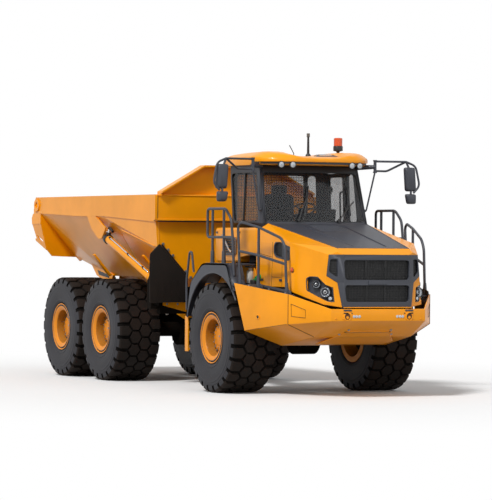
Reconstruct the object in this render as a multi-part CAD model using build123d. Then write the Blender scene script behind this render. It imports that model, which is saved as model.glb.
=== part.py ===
from build123d import *
import os

# Articulated dump truck with three axles, built at its real size in millimetres.
# X points forward, Y to the vehicle's left and Z up.
# Places are measured from the floor below the middle of the front axle.
# The export moves everything forward so that the origin is under the middle of the whole.
axle_ahead_of_middle = 2602.5
# The tyres reach this far below the measured floor, so the export lifts everything by it.
tyre_sink = 12

# Wheels and axles
wheel_base = 4181
tandem_spread = 1670
axle_height = 795
track = 2322
tyre_radius = 807
tyre_half_width = 375
tread_half_width = 332
tread_base_radius = 772
lug_count = 24
lug_width = 108
lug_lean = 0.22
lug_middle = 168
# Side view of a tread block, in distance outwards and radius
lug_outline = [(14, 756), (14, 801), (320, 801), (340, 788), (373, 690), (350, 690), (328, 756)]
rim_seat_radius = 322
rim_flange_radius = 382
rim_opening_radius = 270
seat_gap = 0.3
hub_face_depth = 130
axle_beam_radius = 115
axle_end_radius = 205

# Hitch between the two frames
hitch_behind_axle = 1362
hitch_height = 1125
hitch_pin_radius = 60
hitch_eye_radius = 120
running_gap = 0.05
trunnion_radius = 170

# Front frame
front_rail_outer = 460
front_rail_inner = 380
front_rail_bottom = 980
front_rail_top = 1280

# Bumper
bumper_front = 2389
bumper_rear = 706
bumper_half_width = 1480
bumper_wall = 16
deck_below_edge = 14
deck_thickness = 22
deck_inner = 1030

# Cab and deck
deck_height = 1885
fender_wall = 26
fender_half_width = 1490
cab_half_width = 848
cab_wall = 50
cab_floor_height = deck_height + 15
sill_height = cab_floor_height + 570
cab_top_height = sill_height + 915
cab_front = 405
cab_front_lean = 261 / 830
cab_side_lean = 39
cab_rear = -1150
cab_corner = -841
cab_corner_half_width = 600
work_lamp_radius = 48

# Hood
hood_rear = 455
hood_wall = 25
hood_lower_edge = 1289
grille_proud = 6
hood_hinge_x = 2325
hood_hinge_height = 1278
hood_pin_radius = 10
hood_eye_radius = 22
hood_lug_middle = 500
hood_lug_half = 20
hood_ear = 30
hinge_gap = 0.5

# Load body
bin_front = -2440
bin_tail = -7510
bin_wall = 24
front_wall_depth = 30
flap_thickness = 12
rail_half_width = 1350
side_half_width = 1335
rail_top_height = 2925
tip_hinge_x = -6150
tip_hinge_height = 1560

# Tip cylinders
tip_cylinder_half_spacing = 1275
tip_barrel_pin = (-2620, 1595)
tip_rod_pin = (-4672, 2308)
tip_barrel_radius = 88
tip_rod_radius = 46
tip_eye_half = 49.5

# Steering cylinders
steer_barrel_pin = (-450, 560)
steer_rod_pin = (-1512, 330)
steer_height = 1130
steer_barrel_radius = 55
steer_rod_radius = 32
steer_spare_stroke = 245
# Half the gap between the yoke's plates, so that the barrel passes between them
steer_fork_gap = 62

middle_axle_x = -wheel_base
rear_axle_x = -wheel_base - tandem_spread
hitch_x = -hitch_behind_axle
wheel_middle = track / 2


def prism(corners, sweep):
    """Solid swept from a flat outline of 3-D corners along a vector."""
    sweep = Vector(*sweep)
    outline = Face(Wire.make_polygon([Vector(*corner) for corner in corners], close=True))
    if outline.normal_at().dot(sweep) < 0:
        outline = -outline
    return Solid.extrude(outline, sweep)


def side_prism(outline, y_start, y_end):
    """Solid with an outline in X and Z, reaching from one Y to another."""
    return prism([(x, y_start, z) for x, z in outline], (0, y_end - y_start, 0))


def cross_prism(outline, x_start, x_end):
    """Solid with an outline in Y and Z, reaching from one X to another."""
    return prism([(x_start, y, z) for y, z in outline], (x_end - x_start, 0, 0))


def plan_prism(outline, z_start, z_end):
    """Solid with an outline in X and Y, reaching from one Z to another."""
    return prism([(x, y, z_start) for x, y in outline], (0, 0, z_end - z_start))


def block(x_start, x_end, y_start, y_end, z_start, z_end):
    """Rectangular block between two X, two Y and two Z."""
    outline = [(x_start, y_start), (x_end, y_start), (x_end, y_end), (x_start, y_end)]
    return plan_prism(outline, z_start, z_end)


def round_bar(start, end, radius):
    """Round bar between two points."""
    start = Vector(*start)
    run = Vector(*end) - start
    return Solid.make_cylinder(radius, run.length, Plane(origin=start, z_dir=run.normalized()))


def bent_tube(points, radius):
    """Round tube along straight runs that meet in mitres."""
    path = Polyline(*[Vector(*point) for point in points])
    section = Plane(origin=path @ 0, z_dir=path % 0) * Circle(radius)
    return sweep(section, path=path, transition=Transition.RIGHT)


def turned(outline, axle_x, side):
    """Ring turned about a wheel's axis from an outline in distance outwards and radius."""
    corners = []
    for out, radius in outline:
        corners.append(Vector(axle_x, side * (wheel_middle + out), axle_height + radius))
    face = Face(Wire.make_polygon(corners, close=True))
    return revolve(face, Axis((axle_x, 0, axle_height), (0, 1, 0)), 360)


def mirrored(shape):
    """The same piece on the other side of the vehicle."""
    return mirror(shape, about=Plane.XZ)


def eased(outline, radius):
    """Outline with each corner turned into three small facets."""
    corners = []
    count = len(outline)
    for index, corner in enumerate(outline):
        corner = Vector(*corner)
        ends = []
        for neighbour in (outline[index - 1], outline[(index + 1) % count]):
            edge = Vector(*neighbour) - corner
            ends.append(corner + edge.normalized() * min(radius, edge.length * 0.45))
        start, end = ends
        for share in (0, 0.33, 0.67, 1):
            point = start * (1 - share) ** 2 + corner * (2 * share * (1 - share)) + end * share ** 2
            corners.append((point.X, point.Y))
    return corners


def both_sides(*shapes):
    """Pieces on the left, and their copies on the right."""
    return list(shapes) + [mirrored(shape) for shape in shapes]


def fused(shapes):
    """One solid from pieces that meet."""
    return Part() + list(shapes)


def faceted_body(sections):
    """Solid through outlines of equal length, with flat triangles between neighbours."""
    outlines = []
    for section, following in zip(sections, sections[1:]):
        count = len(section)
        for index in range(count):
            after = (index + 1) % count
            low, high = section[index], section[after]
            far_low, far_high = following[index], following[after]
            outlines += [(low, high, far_high), (low, far_high, far_low)]
    outlines += [list(reversed(sections[0])), sections[-1]]
    body = closed_solid(outlines)
    if body.volume < 0:
        body = closed_solid([list(reversed(outline)) for outline in outlines])
    return body


def closed_solid(outlines):
    """Solid bounded by flat faces, each given by its corners in order."""
    faces = [Face(Wire.make_polygon([Vector(*corner) for corner in outline], close=True)) for outline in outlines]
    return Solid(Shell(faces))


def cut_by_faces(form, faces, core, inset=0.0):
    """Cut a form down by flat faces of three points each, all moved inwards by an inset."""
    for first, second, third in faces:
        first = Vector(*first)
        normal = (Vector(*second) - first).cross(Vector(*third) - first).normalized()
        if normal.dot(Vector(*core) - first) > 0:
            normal = -normal
        plane = Plane(origin=first - normal * inset, z_dir=normal)
        form = form.split(plane, keep=Keep.BOTTOM)
    return form


def on_both_sides(faces):
    """Cutting faces on the left, and their copies on the right."""
    copies = [tuple((x, -y, z) for x, y, z in face) for face in faces]
    return list(faces) + copies


# Wheels

def tread_blocks():
    """Two rows of tread blocks on a wheel at the origin, the second half a block further round."""
    blocks = []
    for side, offset in ((1, 0), (-1, 0.5)):
        profile = []
        for out, radius in lug_outline:
            along = lug_lean * (out - lug_middle) - lug_width / 2
            profile.append((along, side * out, radius))
        lug = prism(profile, (lug_width, 0, 0))
        for index in range(lug_count):
            blocks.append(lug.rotate(Axis.Y, (index + offset) * 360 / lug_count))
    return blocks


def tyre_at_origin():
    """Hollow tyre, open towards its rim, with its tread blocks."""
    outer_wall = [(330, rim_seat_radius), (329, 386), (tyre_half_width, 560), (352, 740)]
    half = outer_wall + [(tread_half_width, tread_base_radius)]
    inner = [(285, rim_seat_radius), (322, 580), (285, 742)]
    outline = half + [(-out, radius) for out, radius in reversed(half)]
    outline += [(-out, radius) for out, radius in inner] + list(reversed(inner))
    face = Face(Wire.make_polygon([Vector(0, out, radius) for out, radius in outline], close=True))
    return fused([revolve(face, Axis.Y, 360)] + tread_blocks())


whole_tyre = tyre_at_origin()


def tyre(axle_x, side):
    """Tyre of one wheel; the right side's is the left side's mirrored."""
    own = whole_tyre if side > 0 else mirrored(whole_tyre)
    return own.moved(Location((axle_x, side * wheel_middle, axle_height)))


def rim(axle_x, side):
    """Rim with its two flanges, and the hub's disc set back inside it."""
    seat = rim_seat_radius - seat_gap
    outline = [
        (331, rim_flange_radius), (345, rim_flange_radius), (345, 300), (318, rim_opening_radius),
        (175, 262), (175, 195), (215, 185), (215, 0), (hub_face_depth, 0), (hub_face_depth, 250),
        (-345, 298), (-345, rim_flange_radius), (-331, rim_flange_radius), (-331, seat), (331, seat),
    ]
    return turned(outline, axle_x, side)


def axle(axle_x, nose_length):
    """Axle beam with its gear case in the middle and a brake housing at each end."""
    end = wheel_middle + hub_face_depth - seat_gap
    case_half_width = 170
    case_radius = 255
    brake_start = 960
    pieces = [
        round_bar((axle_x, -end, axle_height), (axle_x, end, axle_height), axle_beam_radius),
        round_bar((axle_x, -case_half_width, axle_height), (axle_x, case_half_width, axle_height), case_radius),
        round_bar((axle_x, 0, axle_height), (axle_x + nose_length, 0, axle_height), 120),
    ]
    for side in (-1, 1):
        start = (axle_x, side * brake_start, axle_height)
        pieces.append(round_bar(start, (axle_x, side * end, axle_height), axle_end_radius))
    return fused(pieces)


# Front frame

def front_chassis():
    """Two box rails, their cross members and the hitch ears at the back."""
    rail_start, rail_end = -540, 2180
    box_half_width = 215
    box_rear = -1150
    ear_reach = hitch_eye_radius + 30
    eye_top, eye_bottom = hitch_height + 160, hitch_height - 160
    ear_thickness = 50
    low, high = front_rail_bottom, front_rail_top
    rail = [(rail_start, low), (1900, low), (rail_end, low + 80), (rail_end, high), (rail_start, high)]
    pieces = both_sides(side_prism(rail, front_rail_inner, front_rail_outer))
    pieces.append(block(rail_end, rail_end + 20, -front_rail_outer - 70, front_rail_outer + 70, low + 100, high))
    pieces.append(block(rail_start - 120, rail_start, -400, 400, 960, 1300))
    pieces.append(block(box_rear, rail_start - 120, -box_half_width, box_half_width, 900, 1350))
    for bottom in (eye_bottom - 5 - ear_thickness, eye_top + 5):
        ear = block(hitch_x, box_rear, -ear_reach, ear_reach, bottom, bottom + ear_thickness)
        nose = round_bar((hitch_x, 0, bottom), (hitch_x, 0, bottom + ear_thickness), ear_reach)
        pieces += [ear, nose]
    pin_bottom = eye_bottom - 5 - ear_thickness - 15
    pin_top = eye_top + 5 + ear_thickness + 15
    pieces.append(round_bar((hitch_x, 0, pin_bottom), (hitch_x, 0, pin_top), hitch_pin_radius))
    bumper_inside = bumper_front - bumper_wall
    pieces += both_sides(block(rail_end + 20, bumper_inside, 340, 420, 1120, 1240))
    pieces += both_sides(hood_hinge_lug(rail_end + 20))
    pieces += both_sides(steering_barrel_ears())
    pieces += both_sides(block(-140, 140, front_rail_outer, 700, 1190, 1280))
    pieces += both_sides(block(-1010, -960, box_half_width, 1050, 1010, 1060))
    return fused(pieces)


def hood_hinge_lug(start):
    """Lug from the front cross plate, with the pin that the hood turns on."""
    x, z = hood_hinge_x, hood_hinge_height
    near, far = hood_lug_middle - hood_lug_half, hood_lug_middle + hood_lug_half
    arm = side_prism([(start, 1190), (x, z - 20), (x, z + 10), (start, z)], near, far)
    nose = round_bar((x, near, z), (x, far, z), hood_eye_radius)
    pin = round_bar((x, near - hood_ear, z), (x, far + hood_ear, z), hood_pin_radius)
    return fused([arm, nose, pin])


def steering_barrel_ears():
    """Pair of plates on the rail that holds a steering cylinder's barrel."""
    pin_x, pin_y = steer_barrel_pin
    reach = 62
    plates = []
    for bottom in (steer_height + 46, steer_height - 46 - 25):
        plate = block(pin_x - reach, pin_x + reach, front_rail_outer, pin_y + 20, bottom, bottom + 25)
        plates += [plate, round_bar((pin_x, pin_y, bottom), (pin_x, pin_y, bottom + 25), reach)]
    plates.append(round_bar((pin_x, pin_y, steer_height - 71), (pin_x, pin_y, steer_height + 71), 25))
    return fused(plates)


def front_suspension():
    """Two upright struts between axle and frame, and the frame that leads the axle."""
    strut_y = 620
    strut_top = 1190
    barrel_bottom = 985
    seat_bottom = axle_height + axle_beam_radius
    struts = []
    for side in (-1, 1):
        foot = block(-70, 70, side * strut_y - 70, side * strut_y + 70, seat_bottom, seat_bottom + 40)
        rod = round_bar((0, side * strut_y, seat_bottom + 40), (0, side * strut_y, barrel_bottom), 40)
        barrel = round_bar((0, side * strut_y, barrel_bottom), (0, side * strut_y, strut_top), 70)
        struts.append(fused([foot, rod, barrel]))
    return struts


def engine():
    """Plain block for the engine between the rails."""
    return block(430, 1700, -front_rail_inner, front_rail_inner, 1000, 1850)


def gearbox():
    """Plain block for the gearbox behind the engine."""
    return block(-480, 430, -300, 300, 1060, 1620)


def radiator():
    """Cooler pack on the rails behind the grille."""
    core = block(1960, 2080, -560, 560, front_rail_top, 1960)
    return core


# Bumper

def bumper_form(inset, closed):
    """Bumper's faceted outline; the closed form also has its top edge."""
    front_corner, seam, wing_corner = (bumper_front, 752), (1798, 1148), (928, 1412)
    front_kink, seam_kink, wing_kink = 1096, 1036, 924
    front_top, seam_top, rear_top = 1261, 1463, 1607
    lower_corner = (1900, 782, 859)
    belly_corner = (900, 860, 690)
    kink_front = (*front_corner, front_kink)
    kink_seam = (*seam, seam_kink)
    kink_wing = (*wing_corner, wing_kink)
    walls = [
        ((bumper_front, 0, 0), (bumper_front, 1, 0), (bumper_front, 0, 1)),
        ((bumper_front, 0, front_kink), kink_front, lower_corner),
        ((lower_corner[0], 0, lower_corner[2]), lower_corner, belly_corner),
    ]
    walls += on_both_sides([
        ((*front_corner, 0), (*seam, 0), (*seam, 1)),
        ((*seam, 0), (bumper_rear, bumper_half_width, 0), (*seam, 1)),
        (kink_front, kink_seam, lower_corner),
        (kink_seam, kink_wing, lower_corner),
        (kink_wing, belly_corner, lower_corner),
    ])
    core = (1700, 0, 1200)
    form = cut_by_faces(block(400, 2600, -1700, 1700, 500, 1900), walls, core, inset)
    if closed:
        front, middle, rear = (bumper_front, 0, front_top), (seam[0], 0, seam_top), (bumper_rear, 0, rear_top)
        tops = [(front, (bumper_front, 1, front_top), middle), (middle, (seam[0], 1, seam_top), rear)]
        form = cut_by_faces(form, tops, core)
        behind = [(300, 1900), (566, 1900), (bumper_rear, rear_top), (wing_corner[0], wing_kink), (1000, 690)]
        form = form - side_prism(behind + [(1000, 400), (300, 400)], -1800, 1800)
    return form


def bumper():
    """Front bumper with side wings, a shell of welded plate."""
    return bumper_form(0, True) - bumper_form(bumper_wall, False)


def deck_top(x):
    """Height of the side decks' upper face."""
    return 1608 - deck_below_edge - (x - 600) * 0.121


def side_decks():
    """Walkway plates between the hood and the bumper's wings, sloping with the wings' tops."""
    rear, front = 600, 1790
    slope = [(rear, deck_top(rear)), (front, deck_top(front))]
    slope += [(x, z - deck_thickness) for x, z in reversed(slope)]
    plate = side_prism(slope, deck_inner, 1500) & bumper_form(bumper_wall, False)
    return both_sides(plate - side_prism(fender_outer, 900, 1600))


# Hood

def hood_faces():
    """Flat faces that bound the hood, from the corners of its left side."""
    panel_rear, panel_front = (438, 810, 2482), (2206, 571, 2124)
    rear_shoulder, side_crease = (450, 965, 2390), (1570, 1006, 2195)
    walls = [
        ((2306, 0, 2033), (2306, 1, 2033), (2350, 0, 1289)),
        ((2206, 0, 2124), (2206, 1, 2124), (438, 0, 2480)),
        ((2206, 0, 2124), (2206, 1, 2124), (2300, 0, 2045)),
    ]
    walls += on_both_sides([
        ((2212, 718, 2033), (2208, 747, 1740), (2319, 566, 1289)),
        ((2208, 747, 1740), (2212, 718, 2033), (1650, 1020, 1600)),
        ((450, 1010, 1600), (1650, 1018, 1600), (450, 1002, 2150)),
        (rear_shoulder, side_crease, (450, 1002, 2200)),
        (panel_rear, side_crease, rear_shoulder),
        (panel_rear, panel_front, side_crease),
        (panel_front, (2212, 718, 2033), side_crease),
    ])
    return walls


def hood_form(inset):
    """Hood's outline without its bottom and rear edges."""
    start = block(300, 2600, -1200, 1200, 1100, 2600)
    return cut_by_faces(start, hood_faces(), (1500, 0, 1700), inset)


def hood_trim():
    """Everything below the hood's lower edge and behind its rear edge."""
    edge = hood_lower_edge
    lower = [(200, 1000), (2700, 1000), (2700, edge), (2320, edge), (1650, 1500), (1450, 1560), (200, 1560)]
    return [side_prism(lower, -1300, 1300), block(200, hood_rear, -1300, 1300, 1000, 2700)]


# Outlines in Y and Z of the grille's left half and its openings
grille_half = [(715, 2033), (747, 1731), (608, 1634), (552, 1270)]
grille_side = [(607, 1971), (705, 1971), (720, 1787), (609, 1703)]
grille_upper_half_width, grille_upper_bottom, grille_upper_top = 528, 1677, 1957
grille_lower_half_width, grille_lower_bottom, grille_lower_top = 520, 1363, 1601
# Outlines in X and Z of the lamp and of the vent on the hood's side
headlamp_outline = [(1880, 1691), (1936, 1722), (2070, 1717), (2257, 1567), (2274, 1360), (2231, 1366), (1906, 1519)]
vent_outline = [
    (1046, 2150), (1090, 2205), (1244, 2205), (1573, 2135),
    (1580, 1957), (1515, 1935), (1120, 1989), (1046, 2040),
]
# Outline in X and Y of the dark top panel's left half
panel_half = [(2206, 571), (470, 806)]


def whole(half):
    """Outline from its left half, with the second coordinates turned over on the right."""
    return half + [(along, -across) for along, across in reversed(half)]


def whole_front(half):
    """Outline in Y and Z from its left half."""
    return half + [(-across, height) for across, height in reversed(half)]


def grille_zone():
    """Prism through the whole grille."""
    return cross_prism(whole_front(grille_half), 1950, 2500)


def grille_windows():
    """Openings through the grille's frame."""
    windows = []
    for half_width, bottom, top in (
        (grille_upper_half_width, grille_upper_bottom, grille_upper_top),
        (grille_lower_half_width, grille_lower_bottom, grille_lower_top),
    ):
        windows.append(block(1900, 2500, -half_width, half_width, bottom, top))
    return windows + both_sides(cross_prism(grille_side, 1900, 2500))


def headlamp_zones():
    """Prisms through the lamps on both sides, up to the grille."""
    return [zone - grille_zone() for zone in both_sides(side_prism(headlamp_outline, 560, 1100))]


def vent_zones():
    """Prisms through the vents on both sides."""
    return both_sides(side_prism(vent_outline, 850, 1100))


def panel_zone():
    """Prism through the dark top panel."""
    return plan_prism(whole(panel_half), 2050, 2600)


def hood_shell():
    """Painted hood, open below and behind, with its openings cut."""
    shell = hood_form(0) - hood_form(hood_wall)
    return shell - hood_trim() - headlamp_zones() - vent_zones() - [grille_zone(), panel_zone()]


def hood_top_panel():
    """Dark panel on top of the hood."""
    slab = hood_form(-4) - hood_form(hood_wall)
    return (slab & panel_zone()) - hood_trim()


def grille_frame():
    """Frame of the grille with its openings, and the eyes that the hood turns on."""
    slab = hood_form(-grille_proud) - hood_form(hood_wall + 15)
    x, z = hood_hinge_x, hood_hinge_height
    notch_half = hood_lug_half + 6
    notch = block(x - 60, x + 60, hood_lug_middle - notch_half, hood_lug_middle + notch_half, z, z + hood_eye_radius + 6)
    frame = (slab & grille_zone()) - grille_windows() - hood_trim() - both_sides(notch)
    ears = []
    for y in (hood_lug_middle - hood_lug_half - hood_ear, hood_lug_middle + hood_lug_half):
        near, far = y + hinge_gap, y + hood_ear - hinge_gap
        ears.append(block(x - 14, x + 18, near, far, z, hood_lower_edge + 30))
        # The eyes stand on the frame's lower bar
        ears.append(round_bar((x, near, z), (x, far, z), hood_eye_radius))
    reach = hood_lug_middle + hood_lug_half + hood_ear
    bore = round_bar((x, -reach, z), (x, reach, z), hood_pin_radius + running_gap)
    return fused([frame] + both_sides(*ears)) - bore


def grille_mesh():
    """Dark mesh behind the grille's openings."""
    sheet = hood_form(5) - hood_form(20)
    return [sheet & window for window in grille_windows()]


def headlamps():
    """Lamp clusters in the hood's front corners."""
    sheet = hood_form(-6) - hood_form(hood_wall)
    return [sheet & zone for zone in headlamp_zones()]


def hood_vents():
    """Dark air vents in the hood's sides."""
    sheet = hood_form(-3) - hood_form(hood_wall)
    return [sheet & zone for zone in vent_zones()]


# Cab

def cab_form(inset):
    """Cab's outline: upright below the sill, leaning inwards above it."""
    front_low = (cab_front, sill_height)
    front_high = (cab_front - cab_front_lean * (cab_top_height - sill_height), cab_top_height)
    walls = [
        ((cab_front, 0, 0), (cab_front, 1, 0), (cab_front, 0, 1)),
        ((front_low[0], 0, front_low[1]), (front_low[0], 1, front_low[1]), (front_high[0], 0, front_high[1])),
        ((cab_rear, 0, 0), (cab_rear, 1, 0), (cab_rear, 0, 1)),
    ]
    top_half_width = cab_half_width - cab_side_lean
    walls += on_both_sides([
        ((0, cab_half_width, 0), (1, cab_half_width, 0), (0, cab_half_width, 1)),
        ((0, cab_half_width, sill_height), (1, cab_half_width, sill_height), (0, top_half_width, cab_top_height)),
        ((cab_corner, cab_half_width, 0), (cab_rear, cab_corner_half_width, 0), (cab_corner, cab_half_width, 1)),
    ])
    start = block(-1400, 700, -1100, 1100, cab_floor_height + inset, cab_top_height + (0 if inset == 0 else 50))
    return cut_by_faces(start, walls, (-300, 0, 2500), inset)


window_corner = 60
window_low, window_high = sill_height + 50, cab_top_height - 150
windscreen_outline = [(770, window_low), (735, window_high), (-735, window_high), (-770, window_low)]
front_side_window = [(290, window_low), (105, window_high), (-300, window_high), (-300, window_low)]
rear_side_window = [(-400, window_low), (-400, window_high), (-780, window_high), (-780, window_low)]
rear_low, rear_high = sill_height - 120, cab_top_height - 185
rear_window = [(540, rear_low), (540, rear_high), (-540, rear_high), (-540, rear_low)]
left_side_window = [(290, window_low), (105, window_high), (-160, window_high), (-160, window_low)]
door_front, door_rear = -225, -825
door_bottom, door_top = cab_floor_height + 20, cab_top_height - 140
door_outline = [(door_front, door_bottom), (door_front, door_top), (door_rear, door_top), (door_rear, door_bottom)]
pane_low, pane_high = sill_height - 170, cab_top_height - 195
door_window = eased([(-290, pane_low), (-290, pane_high), (-760, pane_high), (-760, pane_low)], window_corner)
door_gap = 6
# The door's inner front edge swings past the jamb
door_swing_gap = 16
door_hinge = (-835, 870)
door_hinge_heights = (cab_floor_height + 160, cab_top_height - 385)
hinge_pin_radius = 8
hinge_radius = 14
hinge_middle = 30.5
hinge_reach = 62


def cab_window_zones():
    """Prisms through the fixed windows."""
    front = cross_prism(eased(windscreen_outline, window_corner), 60, 700)
    rear = cross_prism(eased(rear_window, window_corner), cab_rear - 60, cab_rear + 120)
    sides = [side_prism(eased(left_side_window, window_corner), 700, 1000)]
    for outline in (front_side_window, rear_side_window):
        sides.append(side_prism(eased(outline, window_corner), -1000, -700))
    return [front, rear] + sides


def cab_shell():
    """Hollow cab with its windows and its doorway cut, and the pins that the door turns on."""
    shell = cab_form(0) - cab_form(cab_wall)
    rear, front = door_rear - door_gap, door_front + door_swing_gap
    low, high = door_bottom - door_gap, door_top + door_gap
    doorway = [(front, low), (front, high), (rear, high), (rear, low)]
    shell = shell - cab_window_zones() - side_prism(doorway, 700, 1000)
    x, y = door_hinge
    hinges = []
    for z in door_hinge_heights:
        hinges.append(round_bar((x, y, z - hinge_reach), (x, y, z + hinge_reach), hinge_pin_radius))
        for low, high in ((z - hinge_reach, z - hinge_middle), (z + hinge_middle, z + hinge_reach)):
            hinges.append(round_bar((x, y, low), (x, y, high), hinge_radius))
            hinges.append(block(x - 45, x, y - 8, y + 8, low, high))
            hinges.append(block(x - 45, x - 20, 775, y + 8, low, high))
    return fused([shell] + hinges)


def cab_glass():
    """Panes set in the fixed windows."""
    sheet = cab_form(18) - cab_form(26)
    return [sheet & zone for zone in cab_window_zones()]


# Each station of the roof: x and half width, then its underside, upper edge, two humps and middle,
# as heights over the cab's top
roof_stations = [
    (-1170, 690, -50, 40, 70, 50),
    (-800, 946, -50, 70, 120, 80),
    (100, 946, -50, 80, 148, 100),
    (165, 940, 0, 80, 150, 100),
    (300, 900, 0, 70, 140, 95),
    (521, 650, 0, 45, 95, 70),
    (555, 482, 0, 35, 60, 50),
]


def cab_roof():
    """Roof with a hump on each side, its front visor and the skirt round the cab's top."""
    sections = []
    for x, half_width, under, edge, hump, middle in roof_stations:
        half = [(1, under), (1, edge), (0.85, hump), (0.4, hump), (0.28, middle)]
        outline = whole_front([(half_width * share, cab_top_height + rise) for share, rise in half])
        sections.append([(x, y, z) for y, z in outline])
    return faceted_body(sections) - cab_form(0)


def cab_door():
    """Cab door's frame on the left, with its hinge eyes."""
    slab = cab_form(0) - cab_form(cab_wall)
    frame = (slab & side_prism(door_outline, 700, 1000)) - side_prism(door_window, 700, 1000)
    inner_face = cab_half_width - cab_wall
    frame = frame - block(door_rear, door_front, 600, inner_face, door_bottom, cab_floor_height + cab_wall)
    x, y = door_hinge
    half = hinge_middle - hinge_gap
    eyes = []
    for z in door_hinge_heights:
        eyes.append(round_bar((x, y, z - half), (x, y, z + half), hinge_radius))
        eyes.append(block(x, x + 45, y - 8, y + 8, z - half, z + half))
        eyes.append(block(x + 20, x + 45, 800, y + 8, z - half, z + half))
    bore = round_bar((x, y, cab_floor_height), (x, y, cab_top_height), hinge_pin_radius + running_gap)
    return fused([frame] + eyes) - bore


def door_glass():
    """Pane in the cab door."""
    sheet = cab_form(18) - cab_form(26)
    return sheet & side_prism(door_window, 700, 1000)


def seat():
    """Driver's seat on its pedestal, with the instructor's seat beside it."""
    floor = cab_floor_height
    seat_under, seat_front, seat_back = floor + 400, floor + 520, floor + 500
    outline = [
        (-250, seat_under), (-250, seat_front), (-660, seat_back), (-760, floor + 1100),
        (-860, floor + 1080), (-780, seat_under),
    ]
    return fused([side_prism(outline, -260, 260), block(-640, -360, -180, 180, floor + cab_wall, seat_under)])


def dashboard():
    """Dashboard across the front of the cab, with the steering column."""
    floor = cab_floor_height
    shelf = side_prism([(355, floor + 400), (355, floor + 550), (60, floor + 620), (40, floor + 500)], -700, 700)
    leg = block(60, 200, -250, 250, floor + cab_wall, floor + 520)
    column = round_bar((80, 0, floor + 550), (-80, 0, floor + 780), 40)
    wheel = round_bar((-80, 0, floor + 780), (-97, 0, floor + 804), 225)
    return fused([shelf, leg, column, wheel])


def cab_pod():
    """Right side locker below the cab's windows with its air intake, and the shelf under it."""
    floor, outer = cab_floor_height, -1000
    top, under = sill_height - 56, floor + 110
    front = hood_rear - 8
    outline = [(-992, floor), (-100, floor), (-100, under), (front, under), (front, top), (-992, top)]
    locker = side_prism(eased(outline, 40), outer, -cab_half_width)
    intake_outline = [(-671, floor + 105), (-218, floor + 105), (-218, top - 140), (-671, top - 140)]
    intake = side_prism(eased(intake_outline, 50), outer - 10, outer + 60)
    shelf = block(-90, 425, -960, -700, floor - 125, floor - 55)
    return [locker - intake, shelf]


def cab_base():
    """Frame below the cab floor, with the legs that carry it on the rails."""
    box_bottom = cab_floor_height - 260
    boxes = block(-900, 425, 320, 700, box_bottom, cab_floor_height)
    legs = [block(x - 60, x + 60, front_rail_inner, front_rail_outer, front_rail_top, box_bottom) for x in (-470, 350)]
    cross = block(-700, -500, -400, 400, box_bottom, box_bottom + 60)
    return fused(both_sides(boxes, *legs) + [cross])


# Fenders, rails and steps

def fender_line(inset):
    """Outline in X and Z over a front wheel, from its rear foot to its front foot."""
    top = deck_height - inset
    rear = [(-944 + inset, 1089), (-808 + inset, top - 301 + inset / 2), (-385 + inset / 2, top)]
    return rear + [(480 - inset, top), (672 - inset, deck_height - 394)]


fender_outer = fender_line(0)


def fenders():
    """Mudguards over the front wheels, with a lip round each arch and a shelf to the cab."""
    arch = round_bar((0, 1400, axle_height), (0, 1600, axle_height), 955)
    guard = side_prism(fender_outer + list(reversed(fender_line(fender_wall))), deck_inner, fender_half_width)
    lip = side_prism(fender_outer, fender_half_width - fender_wall, fender_half_width) - arch
    shelf = block(-380, -110, 700, deck_inner, deck_height - fender_wall, deck_height)
    return both_sides(fused([guard, lip, shelf]))


def deck_rails():
    """Handrails on both sides of the cab and hood, and the grab loops behind them."""
    tube = 21
    upper_y = 1405
    lower_y = 1376
    deck = deck_height
    low, high = deck + 385, deck + 803
    rear_hoop = [
        (x, upper_y, z) for x, z in (
            (-201, low), (-378, low), (-378, high - 38), (-340, high),
            (242, high), (440, deck + 650), (495, deck + 345), (553, deck - 165),
        )
    ]
    rear_foot, middle_foot, front_foot = (697, lower_y), (1064, 1261), (1700, 1119)
    front = [
        (*rear_foot, deck_top(rear_foot[0]) - 5), (608, lower_y, deck + 565), (660, 1366, deck + 607),
        (*middle_foot, deck + 530), (1579, 1132, deck + 364), (1650, 1125, deck + 265),
        (*front_foot, deck_top(front_foot[0]) - 5),
    ]
    middle_bar = [(645, lower_y, deck + 186), (*middle_foot, deck + 127), (1670, 1122, deck + 4)]
    kick_height, kick_half = 55, 15
    kick = []
    for x, y in (middle_foot, front_foot):
        kick.append([(x, y + reach, deck_top(x) + rise) for reach, rise in (
            (-kick_half, -5), (kick_half, -5), (kick_half, kick_height), (-kick_half, kick_height),
        )])
    rear_foot_plate = block(660, 790, lower_y - 22, lower_y + 22, deck_top(790) - 5, deck_top(660) + kick_height)
    left = [
        fused([
            bent_tube(rear_hoop, tube),
            round_bar((-201, upper_y, deck), (-201, upper_y, high), tube),
            round_bar((189, upper_y, deck), (189, upper_y, high), tube),
            round_bar((-201, upper_y, low), (489, upper_y, low), tube),
        ]) - side_prism(fender_outer, 900, 1600),
        fused([
            bent_tube(front, tube),
            bent_tube(middle_bar, tube),
            round_bar((*middle_foot, deck_top(middle_foot[0]) - 5), (*middle_foot, deck + 530), tube),
            faceted_body(kick),
            rear_foot_plate,
        ]) - side_decks(),
    ]
    return both_sides(*left)


def steps():
    """Ladders behind the front wheels."""
    plates = [block(-1065, -960, start, start + 20, 560, 1089) for start in (1050, 1430)]
    treads = [block(-1065, -960, 1070, 1430, height, height + 30) for height in (580, 830, 1059)]
    return both_sides(fused(plates + treads))


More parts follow.
